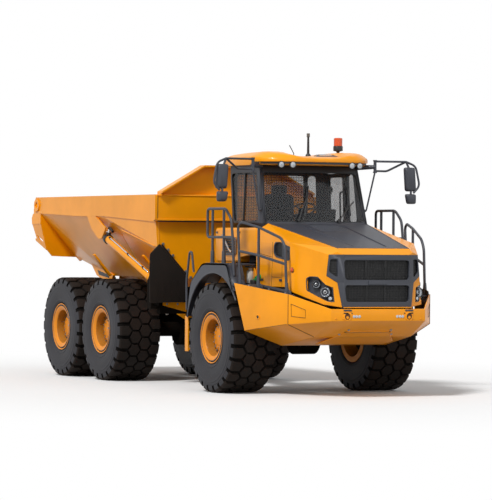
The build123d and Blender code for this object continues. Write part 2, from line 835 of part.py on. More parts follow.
def mirrors():
    """Mirror heads on their two-tube arms, one set on each side."""
    tube = 16
    top = cab_top_height
    post_x, post_y = 330, 1010
    arm_end = (420, 1486, top + 33)
    hoop = [arm_end, (440, 1640, top - 28), (455, 1700, top - 327), (450, 1600, top - 433)]
    head_outline = [(1450, top - 50), (1632, top - 50), (1655, top - 410), (1475, top - 410)]
    small_outline = [(1460, top - 448), (1642, top - 448), (1640, top - 598), (1490, top - 598)]
    pieces = [
        round_bar((150, 780, top - 60), (post_x, post_y, top - 50), 38),
        round_bar((post_x, post_y, top - 135), (post_x, post_y, top + 50), 22),
        bent_tube([(post_x, post_y, top + 33), arm_end], tube),
        bent_tube([(post_x, post_y, top - 110), (275, 1235, top - 110), arm_end], tube),
        bent_tube(hoop, tube),
        cross_prism(eased(head_outline, 45), 395, 470),
        cross_prism(eased(small_outline, 35), 420, 490),
        round_bar(arm_end, (430, 1530, top - 60), tube),
        round_bar((445, 1550, top - 400), (445, 1560, top - 460), tube),
    ]
    stay = bent_tube([(283, 800, 2677), (283, 885, 2677), (post_x, post_y, top - 120)], tube)
    return both_sides(fused(pieces + [stay]) - cab_roof() - cab_form(0))


def work_lamps():
    """Round lamps under the roof's front edge."""
    lamps = []
    height = cab_top_height - work_lamp_radius
    for y in (500, 640):
        lamps += both_sides(round_bar((440, y, height), (510, y, height), work_lamp_radius))
    return lamps


def beacon_and_aerial():
    """Beacon on its stem, and the upright aerial beside it."""
    # x, y, then for each round stretch its top over the cab's top and its radius
    rods = [
        (-300, 711, ((195, 20), (270, 72), (395, 66))),
        (-600, 359, ((150, 40), (465, 18))),
    ]
    pieces = []
    for x, y, stretches in rods:
        bottom = cab_top_height + 20
        bars = []
        for rise, radius in stretches:
            bars.append(round_bar((x, y, bottom), (x, y, cab_top_height + rise), radius))
            bottom = cab_top_height + rise
        pieces.append(fused(bars) - cab_roof())
    return pieces


# Hitch

def hitch_yoke():
    """Centre piece of the hitch: upright eye, arms for the steering rods and the long trunnion."""
    eye = round_bar((hitch_x, 0, hitch_height - 160), (hitch_x, 0, hitch_height + 160), hitch_eye_radius)
    neck = block(hitch_x - 260, hitch_x - 60, -110, 110, hitch_height - 110, hitch_height + 110)
    flange_x = hitch_x - 260
    flange = round_bar((flange_x, 0, hitch_height), (flange_x - 40, 0, hitch_height), 225)
    trunnion = round_bar((flange_x, 0, hitch_height), (flange_x - 640, 0, hitch_height), trunnion_radius)
    pin_x, pin_y = steer_rod_pin
    arms = []
    arm_outline = [(hitch_x + 40, 60), (pin_x + 55, pin_y), (pin_x - 55, pin_y), (hitch_x - 200, 60)]
    for bottom in (steer_height + steer_fork_gap, steer_height - steer_fork_gap - 25):
        plate = plan_prism(arm_outline, bottom, bottom + 25)
        end = round_bar((pin_x, pin_y, bottom), (pin_x, pin_y, bottom + 25), 55)
        arms += both_sides(plate, end)
    pieces = fused([eye, neck, flange, trunnion] + arms)
    bore = round_bar((hitch_x, 0, hitch_height - 200), (hitch_x, 0, hitch_height + 200), hitch_pin_radius + running_gap)
    return pieces - bore


# Rear frame

def rear_chassis():
    """Rear rails with the hitch tube, cross members and outriggers for the tip cylinders."""
    tube_front = hitch_x - 310
    tube_rear = hitch_x - 910
    rail_outer, rail_inner = 430, 330
    rail_low, rail_high = 1180, 1480
    tube = round_bar((tube_front, 0, hitch_height), (tube_rear, 0, hitch_height), 225)
    bore = round_bar((tube_front + 50, 0, hitch_height), (tube_rear - 10, 0, hitch_height), trunnion_radius + running_gap)
    front_box = block(tube_rear - 300, tube_rear, -rail_outer, rail_outer, 960, rail_high)
    rail = side_prism([(tube_rear - 300, 1000), (-3200, rail_low), (-6330, rail_low + 60), (-6330, rail_high), (tube_rear - 300, rail_high)], rail_inner, rail_outer)
    pieces = [tube, front_box] + both_sides(rail)
    pieces += both_sides(side_prism([(tube_rear - 300, 1080), (-2700, 1080), (-2700, rail_high), (tube_rear - 300, rail_high)], rail_outer, 1190))
    pieces += both_sides(tip_barrel_ears())
    pieces.append(block(-5106, -4926, -rail_inner, rail_inner, rail_low + 20, rail_high - 20))
    pieces.append(block(-6330, -6230, -rail_inner, rail_inner, rail_low + 80, rail_high - 20))
    pieces.append(round_bar((-5016, -560, 960), (-5016, 560, 960), 90))
    pieces += both_sides(block(-5136, -4896, rail_inner, rail_outer, 870, rail_low + 40))
    pieces += both_sides(tip_hinge_ears())
    return fused(pieces) - bore


def tip_barrel_ears():
    """Pair of plates that holds a tip cylinder's barrel."""
    pin_x, pin_z = tip_barrel_pin
    y = tip_cylinder_half_spacing
    outline = [(pin_x - 75, 1200), (pin_x + 75, 1200), (pin_x + 75, pin_z), (pin_x, pin_z + 75), (pin_x - 75, pin_z)]
    plates = [side_prism(outline, y - 85, y - 51), side_prism(outline, y + 51, y + 85)]
    plates.append(block(pin_x - 75, pin_x + 75, y - 85, y + 85, 1160, 1200))
    plates.append(round_bar((pin_x, y - 85, pin_z), (pin_x, y + 85, pin_z), 38))
    return fused(plates)


def tip_hinge_ears():
    """Ear on the rear rail that holds the load body's hinge pin."""
    x, z = tip_hinge_x, tip_hinge_height
    outline = [(x - 110, 1400), (x + 110, 1400), (x + 70, z), (x, z + 62), (x - 70, z)]
    plate = side_prism(outline, 430, 480)
    pin = round_bar((x, 430, z), (x, 620, z), 40)
    return fused([plate, pin])


def walking_beams():
    """Beams between the two rear axles, on their pivot tube."""
    reach = 120
    pad = axle_height + axle_beam_radius + 60
    outline = [
        (middle_axle_x + reach, pad), (middle_axle_x + reach, pad + 110), (middle_axle_x - 300, 1150), (rear_axle_x + 300, 1150),
        (rear_axle_x - reach, pad + 110), (rear_axle_x - reach, pad), (rear_axle_x + 350, 820), (middle_axle_x - 350, 820),
    ]
    pieces = [side_prism(outline, 560, 700)]
    for x in (middle_axle_x, rear_axle_x):
        pieces.append(block(x - 100, x + 100, 570, 690, axle_height + axle_beam_radius, pad))
    return both_sides(fused(pieces))


# Load body

# Each station: x, chine half width and height, floor half width and height, rail bottom
bin_stations = [
    (bin_front, 1305, 2110, 850, 1630, 2498),
    (-4500, side_half_width, 2585, 735, 1630, 2592),
    (-5650, side_half_width, 2592, 700, 1630, 2600),
    (-7208, side_half_width, 2642, 700, 1933, 2650),
    (bin_tail, side_half_width, 2652, 740, 2205, 2662),
]


def bin_floor():
    """Floor with its rising tail and the long bearers below it."""
    first, second = bin_stations[:2]
    share = front_wall_depth / (first[0] - second[0])
    behind_wall = tuple(near + (far - near) * share for near, far in zip(first, second))
    sections = []
    for x, chine_y, chine_z, floor_y, floor_z, rail_z in [behind_wall] + bin_stations[1:]:
        half = floor_y - 30
        sections.append([(x, -half, floor_z), (x, half, floor_z), (x, half, floor_z + bin_wall), (x, -half, floor_z + bin_wall)])
    plate = faceted_body(sections)
    bearer = side_prism([(-2500, 1490), (-6000, 1490), (-6000, 1690), (-5650, 1632), (-2500, 1632)], 300, 420)
    hinge_x, hinge_z = tip_hinge_x, tip_hinge_height
    ear_outline = [(hinge_x + 160, 1745), (hinge_x + 75, hinge_z), (hinge_x, hinge_z - 75), (hinge_x - 75, hinge_z), (hinge_x - 160, 1790)]
    ear = side_prism(ear_outline, 490, 600)
    bore = round_bar((hinge_x, 480, hinge_z), (hinge_x, 625, hinge_z), 40 + running_gap)
    ear = ear - bore
    return fused([plate] + both_sides(bearer, ear))


def bin_side():
    """Left side of the load body with its top rail."""
    sections = []
    for x, chine_y, chine_z, floor_y, floor_z, rail_z in bin_stations:
        top = rail_top_height
        sections.append([
            (x, floor_y, floor_z), (x, chine_y, chine_z), (x, side_half_width, rail_z), (x, rail_half_width, rail_z + 4),
            (x, rail_half_width, top), (x, rail_half_width - 120, top), (x, rail_half_width - 120, top - 60),
            (x, chine_y - bin_wall, top - 140), (x, chine_y - bin_wall, chine_z + 10), (x, floor_y - 30, floor_z),
        ])
    return faceted_body(sections)


def tip_rod_ears():
    """Pair of ears under the top rail that the tip cylinder's rod reaches."""
    x, z = tip_rod_pin
    y = tip_cylinder_half_spacing
    foot = [(x + 90, z - 20), (x, z - 95), (x - 90, z - 20)]
    outer_outline = [
        (x - 505, z + 300), (x - 165, z + 300), (x + 270, z + 104), (x + 242, z + 62), (x + 112, z - 68),
        (x, z - 76), (x - 90, z - 40), (x - 318, z + 105),
    ]
    outer = side_prism(outer_outline, y + tip_eye_half + 0.5, y + 74)
    inner = side_prism([(x - 150, 2412), (x + 90, 2412)] + foot, y - 78, y - tip_eye_half - 0.5)
    return [outer, inner]


def tail_corner():
    """Closing plates of the left rear corner, below the rail, with the slot near their foot."""
    rib_x, rib_depth = -7208, 20
    skin = 22
    outer = rail_half_width - 2
    upper_outline = [
        (rib_x, 2480), (rib_x, 2700), (-7500, 2700), (-7500, 2655), (-7548, 2650), (-7607, 2578), (-7591, 2471),
    ]
    lower_outline = [(rib_x, 2500), (-7591, 2490), (-7548, 2299), (-7535, 2238), (-7600, 2228), (-7590, 2195), (rib_x, 2040)]
    lean = [(outer, 2500), (outer - skin, 2500), (1236 - skin, 2030), (1236, 2030)]
    slot = [(-7500, 2300), (-7270, 2206), (-7256, 2158), (-7417, 2216)]
    rib_outline = [(690, 1925), (1134, 1940), (1240, 2060), (outer - 4, 2491), (outer - 4, 2660), (1325, 2650)]
    upper = side_prism(upper_outline, outer - skin, outer)
    lower = (side_prism(lower_outline, 1100, 1500) & cross_prism(lean, -7700, -7100)) - side_prism(slot, 1100, 1500)
    rib = cross_prism(rib_outline, rib_x - rib_depth, rib_x + 2)
    eye = round_bar((-7345, 1340, 2793), (-7345, 1372, 2793), 105)
    eye_hole = round_bar((-7345, 1351, 2793), (-7345, 1380, 2793), 52)
    return fused([upper, lower, rib, eye]) - eye_hole


def bin_front_wall():
    """Front wall with its band, and the headboard above it."""
    half = [(816, 1630), (1278, 2125), (1278, 2780), (1229, 2865), (1229, 2925)]
    sheet = cross_prism(whole_front(half), bin_front - front_wall_depth, bin_front - 6)
    band = cross_prism([(1350, 2520), (1350, 2925), (-1350, 2925), (-1350, 2520)], bin_front, bin_front + 90)
    board_half = [(1312, 2900), (1312, 2969), (589, 3384)]
    opening_half = [(1296, 2900), (1296, 2959), (585, 3368)]
    headboard = cross_prism(whole_front(board_half), bin_front, bin_front + 140)
    headboard = headboard - cross_prism(whole_front(opening_half), bin_front + 24, bin_front + 150)
    link = cross_prism([(1229, 2560), (1229, 2925), (-1229, 2925), (-1229, 2560)], bin_front - 10, bin_front + 2)
    return fused([sheet, link, band, headboard])


def mud_flaps():
    """Rubber sheets below the front corners of the load body."""
    outline = [(1264, 2100), (1431, 2006), (1431, 1150), (818, 1253), (796, 1625)]
    return both_sides(cross_prism(outline, bin_front, bin_front + flap_thickness))


# Cylinders

def cylinder(barrel_pin, rod_pin, barrel_radius, rod_radius, eye_half, barrel_hole, stub, upright, spare_stroke):
    """Barrel with its piston rod, between two pins in one plane; the rod can go in by the spare stroke."""
    start, end = Vector(*barrel_pin), Vector(*rod_pin)
    run = (end - start).normalized()
    across = Vector(0, 0, 1) if upright else Vector(0, 1, 0)
    barrel_start = start + run * (barrel_radius * 1.3)
    barrel_end = end - run * (barrel_radius + 20 + max(spare_stroke, 90))
    eye = Solid.make_cylinder(barrel_radius * 0.85, 2 * eye_half, Plane(origin=start - across * eye_half, z_dir=across))
    tube = Solid.make_cylinder(barrel_radius, (barrel_end - barrel_start).length, Plane(origin=barrel_start, z_dir=run))
    hole = Solid.make_cylinder(barrel_hole + running_gap, 4 * eye_half, Plane(origin=start - across * 2 * eye_half, z_dir=across))
    bore_start = start + run * (barrel_radius * 2)
    bore = Solid.make_cylinder(rod_radius + running_gap, (barrel_end - bore_start).length + 10, Plane(origin=bore_start, z_dir=run))
    side = run.cross(across) * (barrel_radius * 0.7)
    corners = [start + across * eye_half + side, start + across * eye_half - side]
    corners += [start - across * eye_half - side, start - across * eye_half + side]
    neck = prism([tuple(corner) for corner in corners], tuple(barrel_start - start))
    barrel = (Part() + [eye, neck, tube]) - hole - bore
    rod_start = bore_start + run * (5 + spare_stroke)
    rod =Solid.make_cylinder(rod_radius, (end - rod_start).length, Plane(origin=rod_start, z_dir=run))
    rod_eye = Solid.make_cylinder(barrel_radius * 0.8, 2 * stub, Plane(origin=end - across * stub, z_dir=across))
    return barrel, Part() + [rod, rod_eye]


def tip_cylinder():
    """Left tip cylinder."""
    y = tip_cylinder_half_spacing
    barrel_pin = (tip_barrel_pin[0], y, tip_barrel_pin[1])
    rod_pin = (tip_rod_pin[0], y, tip_rod_pin[1])
    return cylinder(barrel_pin, rod_pin, tip_barrel_radius, tip_rod_radius, 50, 38, tip_eye_half, False, 0)


def steer_cylinder():
    """Left steering cylinder."""
    barrel_pin = (*steer_barrel_pin, steer_height)
    rod_pin = (*steer_rod_pin, steer_height)
    rod_half = steer_fork_gap - 0.5
    return cylinder(barrel_pin, rod_pin, steer_barrel_radius, steer_rod_radius, 45, 25, rod_half, True, steer_spare_stroke)


def all_nodes():
    """Every piece by its name, as a list of solids that don't touch or one solid."""
    nodes = {
        "front_chassis": front_chassis(),
        "front_axle": axle(0, -380),
        "front_suspension": front_suspension(),
        "engine": fused([engine(), gearbox()]),
        "radiator": radiator(),
        "bumper": bumper(),
        "side_decks": side_decks(),
        "fenders": fenders(),
        "cab_base": cab_base(),
        "cab_shell": cab_shell(),
        "cab_glass": cab_glass(),
        "cab_roof": cab_roof(),
        "cab_pod": cab_pod(),
        "seat": seat(),
        "dashboard": dashboard(),
        "deck_rails": deck_rails(),
        "steps": steps(),
        "mirrors": mirrors(),
        "work_lamps": work_lamps(),
        "beacon_and_aerial": beacon_and_aerial(),
        "cab_door": cab_door(),
        "door_glass": door_glass(),
        "hood_shell": hood_shell(),
        "hood_top_panel": hood_top_panel(),
        "grille_frame": grille_frame(),
        "grille_mesh": grille_mesh(),
        "headlamps": headlamps(),
        "hood_vents": hood_vents(),
        "hitch_yoke": hitch_yoke(),
        "rear_chassis": rear_chassis(),
        "rear_axles": [axle(axle_x, 420) for axle_x in (middle_axle_x, rear_axle_x)],
        "walking_beams": walking_beams(),
        "bin_floor": bin_floor(),
        "bin_front_wall": bin_front_wall(),
        "mud_flaps": mud_flaps(),
    }
    rail_end_slant = [(-7600, 3000), (-7395, 3000), (-7532, 2664), (-7600, 2664)]
    left_side = fused([bin_side()] + tip_rod_ears()) - side_prism(rail_end_slant, 1200, 1400)
    left_side = fused([left_side, tail_corner()])
    nodes["bin_side_left"] = left_side
    nodes["bin_side_right"] = mirrored(left_side)
    for name, pair in (("tip", tip_cylinder()), ("steer", steer_cylinder())):
        for part_name, piece in zip(("barrel", "rod"), pair):
            nodes[f"{name}_{part_name}_left"] = piece
            nodes[f"{name}_{part_name}_right"] = mirrored(piece)
    for axle_name, axle_x in (("front", 0), ("middle", middle_axle_x), ("rear", rear_axle_x)):
        for side_name, side in (("left", 1), ("right", -1)):
            nodes[f"{axle_name}_{side_name}_tyre"] = tyre(axle_x, side)
            nodes[f"{axle_name}_{side_name}_rim"] = rim(axle_x, side)
    return nodes


def solids_of(piece):
    """Flat list of the solids in a piece or in a list of pieces."""
    if isinstance(piece, (list, tuple)):
        return [solid for part in piece for solid in solids_of(part)]
    return list(piece.solids())


def main():
    os.makedirs("parts", exist_ok=True)
    for name, piece in all_nodes().items():
        node = Compound(solids_of(piece)).moved(Location((axle_ahead_of_middle, 0, tyre_sink)))
        export_step(node, f"parts/{name}.step")


main()
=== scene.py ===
import math

import bmesh
import bpy
from mathutils import Matrix, Vector


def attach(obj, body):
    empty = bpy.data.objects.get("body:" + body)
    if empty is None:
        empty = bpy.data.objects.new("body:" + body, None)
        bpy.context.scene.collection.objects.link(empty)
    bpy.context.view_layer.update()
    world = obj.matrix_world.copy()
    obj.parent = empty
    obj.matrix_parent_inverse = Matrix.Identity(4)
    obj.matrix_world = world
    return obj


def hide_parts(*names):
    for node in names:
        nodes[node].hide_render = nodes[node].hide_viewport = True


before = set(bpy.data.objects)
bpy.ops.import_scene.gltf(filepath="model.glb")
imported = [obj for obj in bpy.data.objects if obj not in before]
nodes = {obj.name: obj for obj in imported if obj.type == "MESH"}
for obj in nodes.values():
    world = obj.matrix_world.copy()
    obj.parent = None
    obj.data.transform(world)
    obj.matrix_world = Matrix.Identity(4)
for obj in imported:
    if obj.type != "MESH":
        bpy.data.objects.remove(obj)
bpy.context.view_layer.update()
print("frame loaded,", len(nodes), "nodes")

# Everything below is in millimetres from the level that was measured under the front axle,
# X forward, Y to the truck's left, Z up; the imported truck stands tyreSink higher
axleAhead = 2602.5
tyreSink = 12
wheelMiddle = 1161
axlePlaces = {"front": 0, "middle": -4181, "rear": -5851}
axleHeight = 795


def spot(x, y, z):
    return Vector(((x + axleAhead) / 1000, y / 1000, (z + tyreSink) / 1000))


# Shader maths

class wire:
    # a value in a material's node tree; sums on it add Math nodes
    def __init__(self, look, socket):
        self.look = look
        self.socket = socket

    def maths(self, operation, first, second=0.0):
        return self.look.node("ShaderNodeMath", {"operation": operation}, {0: first, 1: second})

    def __add__(self, other):
        return self.maths("ADD", self, other)

    def __radd__(self, other):
        return self.maths("ADD", other, self)

    def __sub__(self, other):
        return self.maths("SUBTRACT", self, other)

    def __rsub__(self, other):
        return self.maths("SUBTRACT", other, self)

    def __mul__(self, other):
        return self.maths("MULTIPLY", self, other)

    def __rmul__(self, other):
        return self.maths("MULTIPLY", other, self)

    def __truediv__(self, other):
        return self.maths("DIVIDE", self, other)

    def __pow__(self, other):
        return self.maths("POWER", self, other)

    def between(self, low, high):
        # 0 below low, 1 above high, smooth in the middle
        settings = {"interpolation_type": "SMOOTHSTEP"}
        return self.look.node("ShaderNodeMapRange", settings, {0: self, 1: low, 2: high})


class network:
    # a node tree; node() adds any node, settings first, then its sockets
    def __init__(self, tree, output):
        self.tree = tree
        self.tree.nodes.clear()
        self.output = self.tree.nodes.new(output)

    def node(self, kind, settings=None, sockets=None, out=0):
        made = self.tree.nodes.new(kind)
        for key, value in (settings or {}).items():
            if key == "stops":
                ramp = made.color_ramp
                while len(ramp.elements) < len(value):
                    ramp.elements.new(0.5)
                for element, (position, colour) in zip(ramp.elements, value):
                    element.position = position
                    element.color = (*colour, 1)
            else:
                setattr(made, key, value)
        for key, value in (sockets or {}).items():
            if isinstance(value, wire):
                self.tree.links.new(value.socket, made.inputs[key])
            else:
                made.inputs[key].default_value = value
        return wire(self, made.outputs[out])

    def show(self, shader):
        self.tree.links.new(shader.socket, self.output.inputs["Surface"])

    def seen(self, *more):
        # 1 for rays that show this straight or mirrored, and for the further kinds that are named
        share = self.node("ShaderNodeLightPath", out="Is Camera Ray")
        for name in ("Glossy", *more):
            ray = self.node("ShaderNodeLightPath", out=f"Is {name} Ray")
            share = share.maths("MAXIMUM", share, ray)
        return share


class finish(network):
    # one material
    def __init__(self, name):
        self.material = bpy.data.materials.new(name)
        self.material.use_nodes = True
        super().__init__(self.material.node_tree, "ShaderNodeOutputMaterial")
        self.place = self.node("ShaderNodeTexCoord", out="Object")

    def noise(self, scale, detail=3.0, roughness=0.55, stretch=None):
        place = self.place
        if stretch:
            place = self.node("ShaderNodeVectorMath", {"operation": "MULTIPLY"}, {0: self.place, 1: stretch})
        values = {"Vector": place, "Scale": scale, "Detail": detail, "Roughness": roughness}
        return self.node("ShaderNodeTexNoise", None, values)

    def blend(self, share, first, second):
        settings = {"data_type": "RGBA"}
        fixed = {}
        for key, value in ((6, first), (7, second)):
            fixed[key] = value if isinstance(value, wire) else (*value, 1)
        return self.node("ShaderNodeMix", settings, {0: share, **fixed}, out=2)

    def height(self):
        return self.node("ShaderNodeSeparateXYZ", None, {0: self.place}, out=2)

    def facing(self):
        # how far the surface looks up, -1 to 1
        normal = self.node("ShaderNodeNewGeometry", out="Normal")
        return self.node("ShaderNodeSeparateXYZ", None, {0: normal}, out=2)

    def edges(self, radius):
        # 1 at worn outer edges, 0 on flat faces, and the rounded normal
        rounded = self.node("ShaderNodeBevel", {"samples": 4}, {"Radius": radius})
        flat = self.node("ShaderNodeNewGeometry", out="Normal")
        dot = self.node("ShaderNodeVectorMath", {"operation": "DOT_PRODUCT"}, {0: rounded, 1: flat}, out=1)
        return (1 - dot).between(0.02, 0.25), rounded

    def bump(self, height, strength, distance, normal=None):
        sockets = {"Height": height, "Strength": strength, "Distance": distance}
        if normal is not None:
            sockets["Normal"] = normal
        return self.node("ShaderNodeBump", None, sockets)

    def surface(self, **sockets):
        names = {
            "colour": "Base Color", "rough": "Roughness", "metal": "Metallic", "coat": "Coat Weight",
            "coatRough": "Coat Roughness", "normal": "Normal", "alpha": "Alpha",
            "specular": "Specular IOR Level",
        }
        values = {}
        for key, value in sockets.items():
            if key == "colour" and not isinstance(value, wire):
                value = (*value, 1)
            values[names[key]] = value
        self.show(self.node("ShaderNodeBsdfPrincipled", None, values))
        return self.material


def rgb(text):
    # a colour as it looks on screen, given as RRGGBB
    values = [int(text[i:i + 2], 16) / 255 for i in (0, 2, 4)]
    return tuple(v / 12.92 if v <= 0.04045 else ((v + 0.055) / 1.055) ** 2.4 for v in values)


# Finishes

def paintedSteel(name, look):
    # sprayed steel: slight mottling, dust where it looks up and low down, pale worn edges
    made = finish(name)
    edge, rounded = made.edges(0.006)
    cloud = made.noise(1.3, 4.0)
    speck = made.noise(55, 5.0, 0.7)
    dust = made.facing().between(0.2, 1.0) * cloud.between(0.42, 0.75) * look.get("dust", 0.25)
    low = (1 - made.height().between(0.3, 1.6)) * speck.between(0.35, 0.75) * look.get("mud", 0.2)
    base = rgb(look["colour"])
    darker = tuple(v * 0.86 for v in base)
    colour = made.blend(cloud.between(0.3, 0.7), base, darker)
    colour = made.blend(dust + low, colour, rgb(look.get("dustColour", "B49A78")))
    wear = edge * speck.between(0.5, 0.62) * look.get("wear", 0.5)
    colour = made.blend(wear, colour, rgb(look.get("wornColour", "8A8580")))
    peel = made.noise(420, 2.0)
    normal = made.bump(peel, look.get("peel", 0.06), 0.002, rounded)
    rough = look["rough"] + 0.12 * cloud + 0.25 * (dust + low) + 0.1 * wear
    sheen = {"coat": look.get("coat", 0.15), "coatRough": 0.12, "specular": look.get("specular", 0.5)}
    return made.surface(colour=colour, rough=rough, normal=normal, **sheen)


def rubber(name, look):
    # tyre and sheet rubber: fine grain, grey bloom and dust in the low places
    made = finish(name)
    grain = made.noise(260, 4.0, 0.7)
    bloom = made.noise(2.2, 5.0)
    colour = made.blend(bloom.between(0.35, 0.7), rgb(look["colour"]), rgb(look["bloom"]))
    scuff = made.noise(38, 6.0, 0.75).between(0.6, 0.72) * look["scuff"]
    colour = made.blend(scuff, colour, rgb("77706A"))
    rough, normal = look["rough"] + 0.1 * bloom, made.bump(grain, 0.25, 0.004)
    return made.surface(colour=colour, rough=rough, normal=normal, specular=look["specular"])


def plastic(name, look):
    # moulded plastic with a fine grain
    made = finish(name)
    grain = made.noise(look.get("grain", 700), 2.0)
    cloud = made.noise(6, 3.0)
    base = rgb(look["colour"])
    colour = made.blend(cloud.between(0.3, 0.7), base, tuple(v * 0.8 + 0.004 for v in base))
    normal = made.bump(grain, look.get("bump", 0.15), 0.002)
    return made.surface(colour=colour, rough=look["rough"] + 0.08 * cloud, normal=normal)


def brightSteel(name, look):
    made = finish(name)
    lines = made.noise(60, 3.0, 0.6, (1, 1, 12))
    base = rgb(look["colour"])
    colour = made.blend(lines, base, tuple(v * 0.82 for v in base))
    normal = made.bump(lines, 0.08, 0.001)
    return made.surface(colour=colour, rough=look["rough"] + 0.1 * lines, metal=1.0, normal=normal)


def clearPane(name, look):
    # window glass that stays see-through after export: thin, tinted and faintly dusty
    made = finish(name)
    haze = made.noise(3.0, 4.0)
    alpha = look["cover"] + 0.05 * haze
    normal = made.bump(made.noise(4, 1.0), 0.02, 0.01)
    return made.surface(colour=rgb(look["colour"]), rough=0.03 + 0.05 * haze, alpha=alpha, normal=normal)


def lampLens(name, look):
    made = finish(name)
    ribs = made.node("ShaderNodeTexWave", {"bands_direction": "Y"}, {"Vector": made.place, "Scale": 60.0})
    colour = made.blend(ribs, rgb(look["colour"]), rgb(look["shade"]))
    normal = made.bump(ribs, 0.35, 0.002)
    return made.surface(colour=colour, rough=0.08 + 0.05 * ribs, metal=look.get("metal", 0.0), normal=normal)


def punchedSheet(name, look):
    # dark sheet with rows of small holes, shown by colour and bump
    made = finish(name)
    size = look["holes"]
    cells = {"Vector": made.place, "Scale": size, "Randomness": 0.0}
    hole = made.node("ShaderNodeTexVoronoi", {"voronoi_dimensions": "3D"}, cells).between(0.3, 0.42)
    colour = made.blend(hole, rgb("050505"), rgb(look["colour"]))
    normal = made.bump(hole, 0.6, 0.003)
    return made.surface(colour=colour, rough=0.5 + 0.2 * made.noise(20), normal=normal)


looks = {
    paintedSteel: {
        "yellow": {
            "colour": "FFA200", "rough": 0.28, "dust": 0.03, "mud": 0.04, "coat": 0.12, "specular": 0.3,
            "wornColour": "FFD27A",
        },
        "wheelYellow": {
            "colour": "F39300", "rough": 0.38, "dust": 0.08, "mud": 0.12, "specular": 0.3,
            "wornColour": "FFC870",
        },
        "dark": {"colour": "343740", "rough": 0.45, "dust": 0.06, "mud": 0.08, "wear": 0.2, "coat": 0.05},
        # dark paint of the underparts, made darker and almost without shine as painted shade under the truck
        "under": {
            "colour": "15110E", "rough": 0.8, "dust": 0.1, "mud": 0.1, "coat": 0.0, "specular": 0.05,
            "dustColour": "3A2C1A", "wornColour": "2C2620",
        },
        "black": {"colour": "101114", "rough": 0.42, "dust": 0.08, "mud": 0.06, "wear": 0.2, "coat": 0.05},
        "engine": {"colour": "5F5F5C", "rough": 0.6, "peel": 0.3, "coat": 0.0},
        # darker rim paint, as painted shade in the rim's bowl
        "wheelShade": {
            "colour": "B87204", "rough": 0.5, "dust": 0.1, "mud": 0.2, "coat": 0.0, "specular": 0.2,
            "wornColour": "D89A40",
        },
        # dark brown for seam lines, also used as painted shade inside the tow eye
        "seam": {"colour": "5A3208", "rough": 0.6, "coat": 0.0, "dust": 0.0, "mud": 0.0},
    },
    rubber: {
        "sidewall": {"colour": "29292D", "bloom": "313136", "scuff": 0.15, "rough": 0.6, "specular": 0.35},
        "tread": {"colour": "18120E", "bloom": "221813", "scuff": 0.12, "rough": 0.72, "specular": 0.2},
        # groove: the darkest rubber, as painted shade in the tyre's grooves
        "groove": {"colour": "0B0908", "bloom": "100D0B", "scuff": 0.05, "rough": 0.8, "specular": 0.1},
        "flap": {"colour": "16100C", "bloom": "1E1611", "scuff": 0.1, "rough": 0.65, "specular": 0.2},
    },
    brightSteel: {
        "chrome": {"colour": "D8DADC", "rough": 0.12}, "zinc": {"colour": "A9ABAD", "rough": 0.35},
    },
    clearPane: {"glass": {"colour": "2C2E31", "cover": 0.27}},
    lampLens: {
        "lens": {"colour": "E9EDF0", "shade": "8E979E"}, "amber": {"colour": "F0641E", "shade": "B63C0C"},
        "bulb": {"colour": "D6DADF", "shade": "8A9098", "metal": 0.7},
    },
    plastic: {
        "cabPlastic": {"colour": "2C2D31", "rough": 0.55, "grain": 40, "bump": 0.05},
        "seatCloth": {"colour": "26262A", "rough": 0.8, "grain": 40, "bump": 0.05},
        "green": {"colour": "0A8A3C", "rough": 0.4}, "paleFilter": {"colour": "D8D4CC", "rough": 0.45},
    },
    punchedSheet: {"mesh": {"colour": "131313", "holes": 55}},
}
paints = {name: make(name, look) for make, group in looks.items() for name, look in group.items()}
print("finishes made,", len(paints))

# finish of each CAD node
nodeFinishes = {
    "under": "front_chassis front_axle cab_base hitch_yoke rear_chassis rear_axles walking_beams "
             "steer_barrel_left steer_barrel_right",
    "yellow": "bumper cab_roof cab_pod steps hood_shell bin_floor bin_front_wall bin_side_left "
              "bin_side_right tip_barrel_left tip_barrel_right",
    "dark": "side_decks fenders cab_shell deck_rails mirrors cab_door hood_top_panel grille_frame hood_vents",
    "chrome": "tip_rod_left tip_rod_right steer_rod_left steer_rod_right",
    "black": "front_suspension headlamps", "engine": "engine", "mesh": "radiator grille_mesh",
    "glass": "cab_glass door_glass", "seatCloth": "seat", "cabPlastic": "dashboard", "lens": "work_lamps",
    "amber": "beacon_and_aerial", "flap": "mud_flaps",
    "sidewall": " ".join(f"{axle}_{side}_tyre" for axle in axlePlaces for side in ("left", "right")),
    "wheelYellow": " ".join(f"{axle}_{side}_rim" for axle in axlePlaces for side in ("left", "right")),
}
for paint, names in nodeFinishes.items():
    for name in names.split():
        nodes[name].data.materials.clear()
        nodes[name].data.materials.append(paints[paint])


# Building pieces

def rounded(outline, radius, parts=4):
    # corners of a flat outline turned into short arcs
    corners = [Vector(p) for p in outline]
    points = []
    for index, corner in enumerate(corners):
        ends = []
        for neighbour in (corners[index - 1], corners[(index + 1) % len(corners)]):
            edge = neighbour - corner
            ends.append(corner + edge.normalized() * min(radius, edge.length * 0.45))
        points += arc(ends[0], corner, ends[1], parts)
    return points


def arc(start, corner, end, parts):
    steps = [part / parts for part in range(parts + 1)]
    return [start * (1 - t) ** 2 + corner * 2 * t * (1 - t) + end * t * t for t in steps]


def eased(route, radius, parts):
    # an open route with rounded corners and its ends kept
    line = [route[0]]
    for before, corner, after in zip(route, route[1:], route[2:]):
        back, on = before - corner, after - corner
        reach = min(radius, back.length * 0.45, on.length * 0.45)
        if reach <= 0:
            line.append(corner)
            continue
        line += arc(corner + back.normalized() * reach, corner, corner + on.normalized() * reach, parts)
    return line + [route[-1]]


def between(first, second, share):
    return Vector(first) * (1 - share) + Vector(second) * share


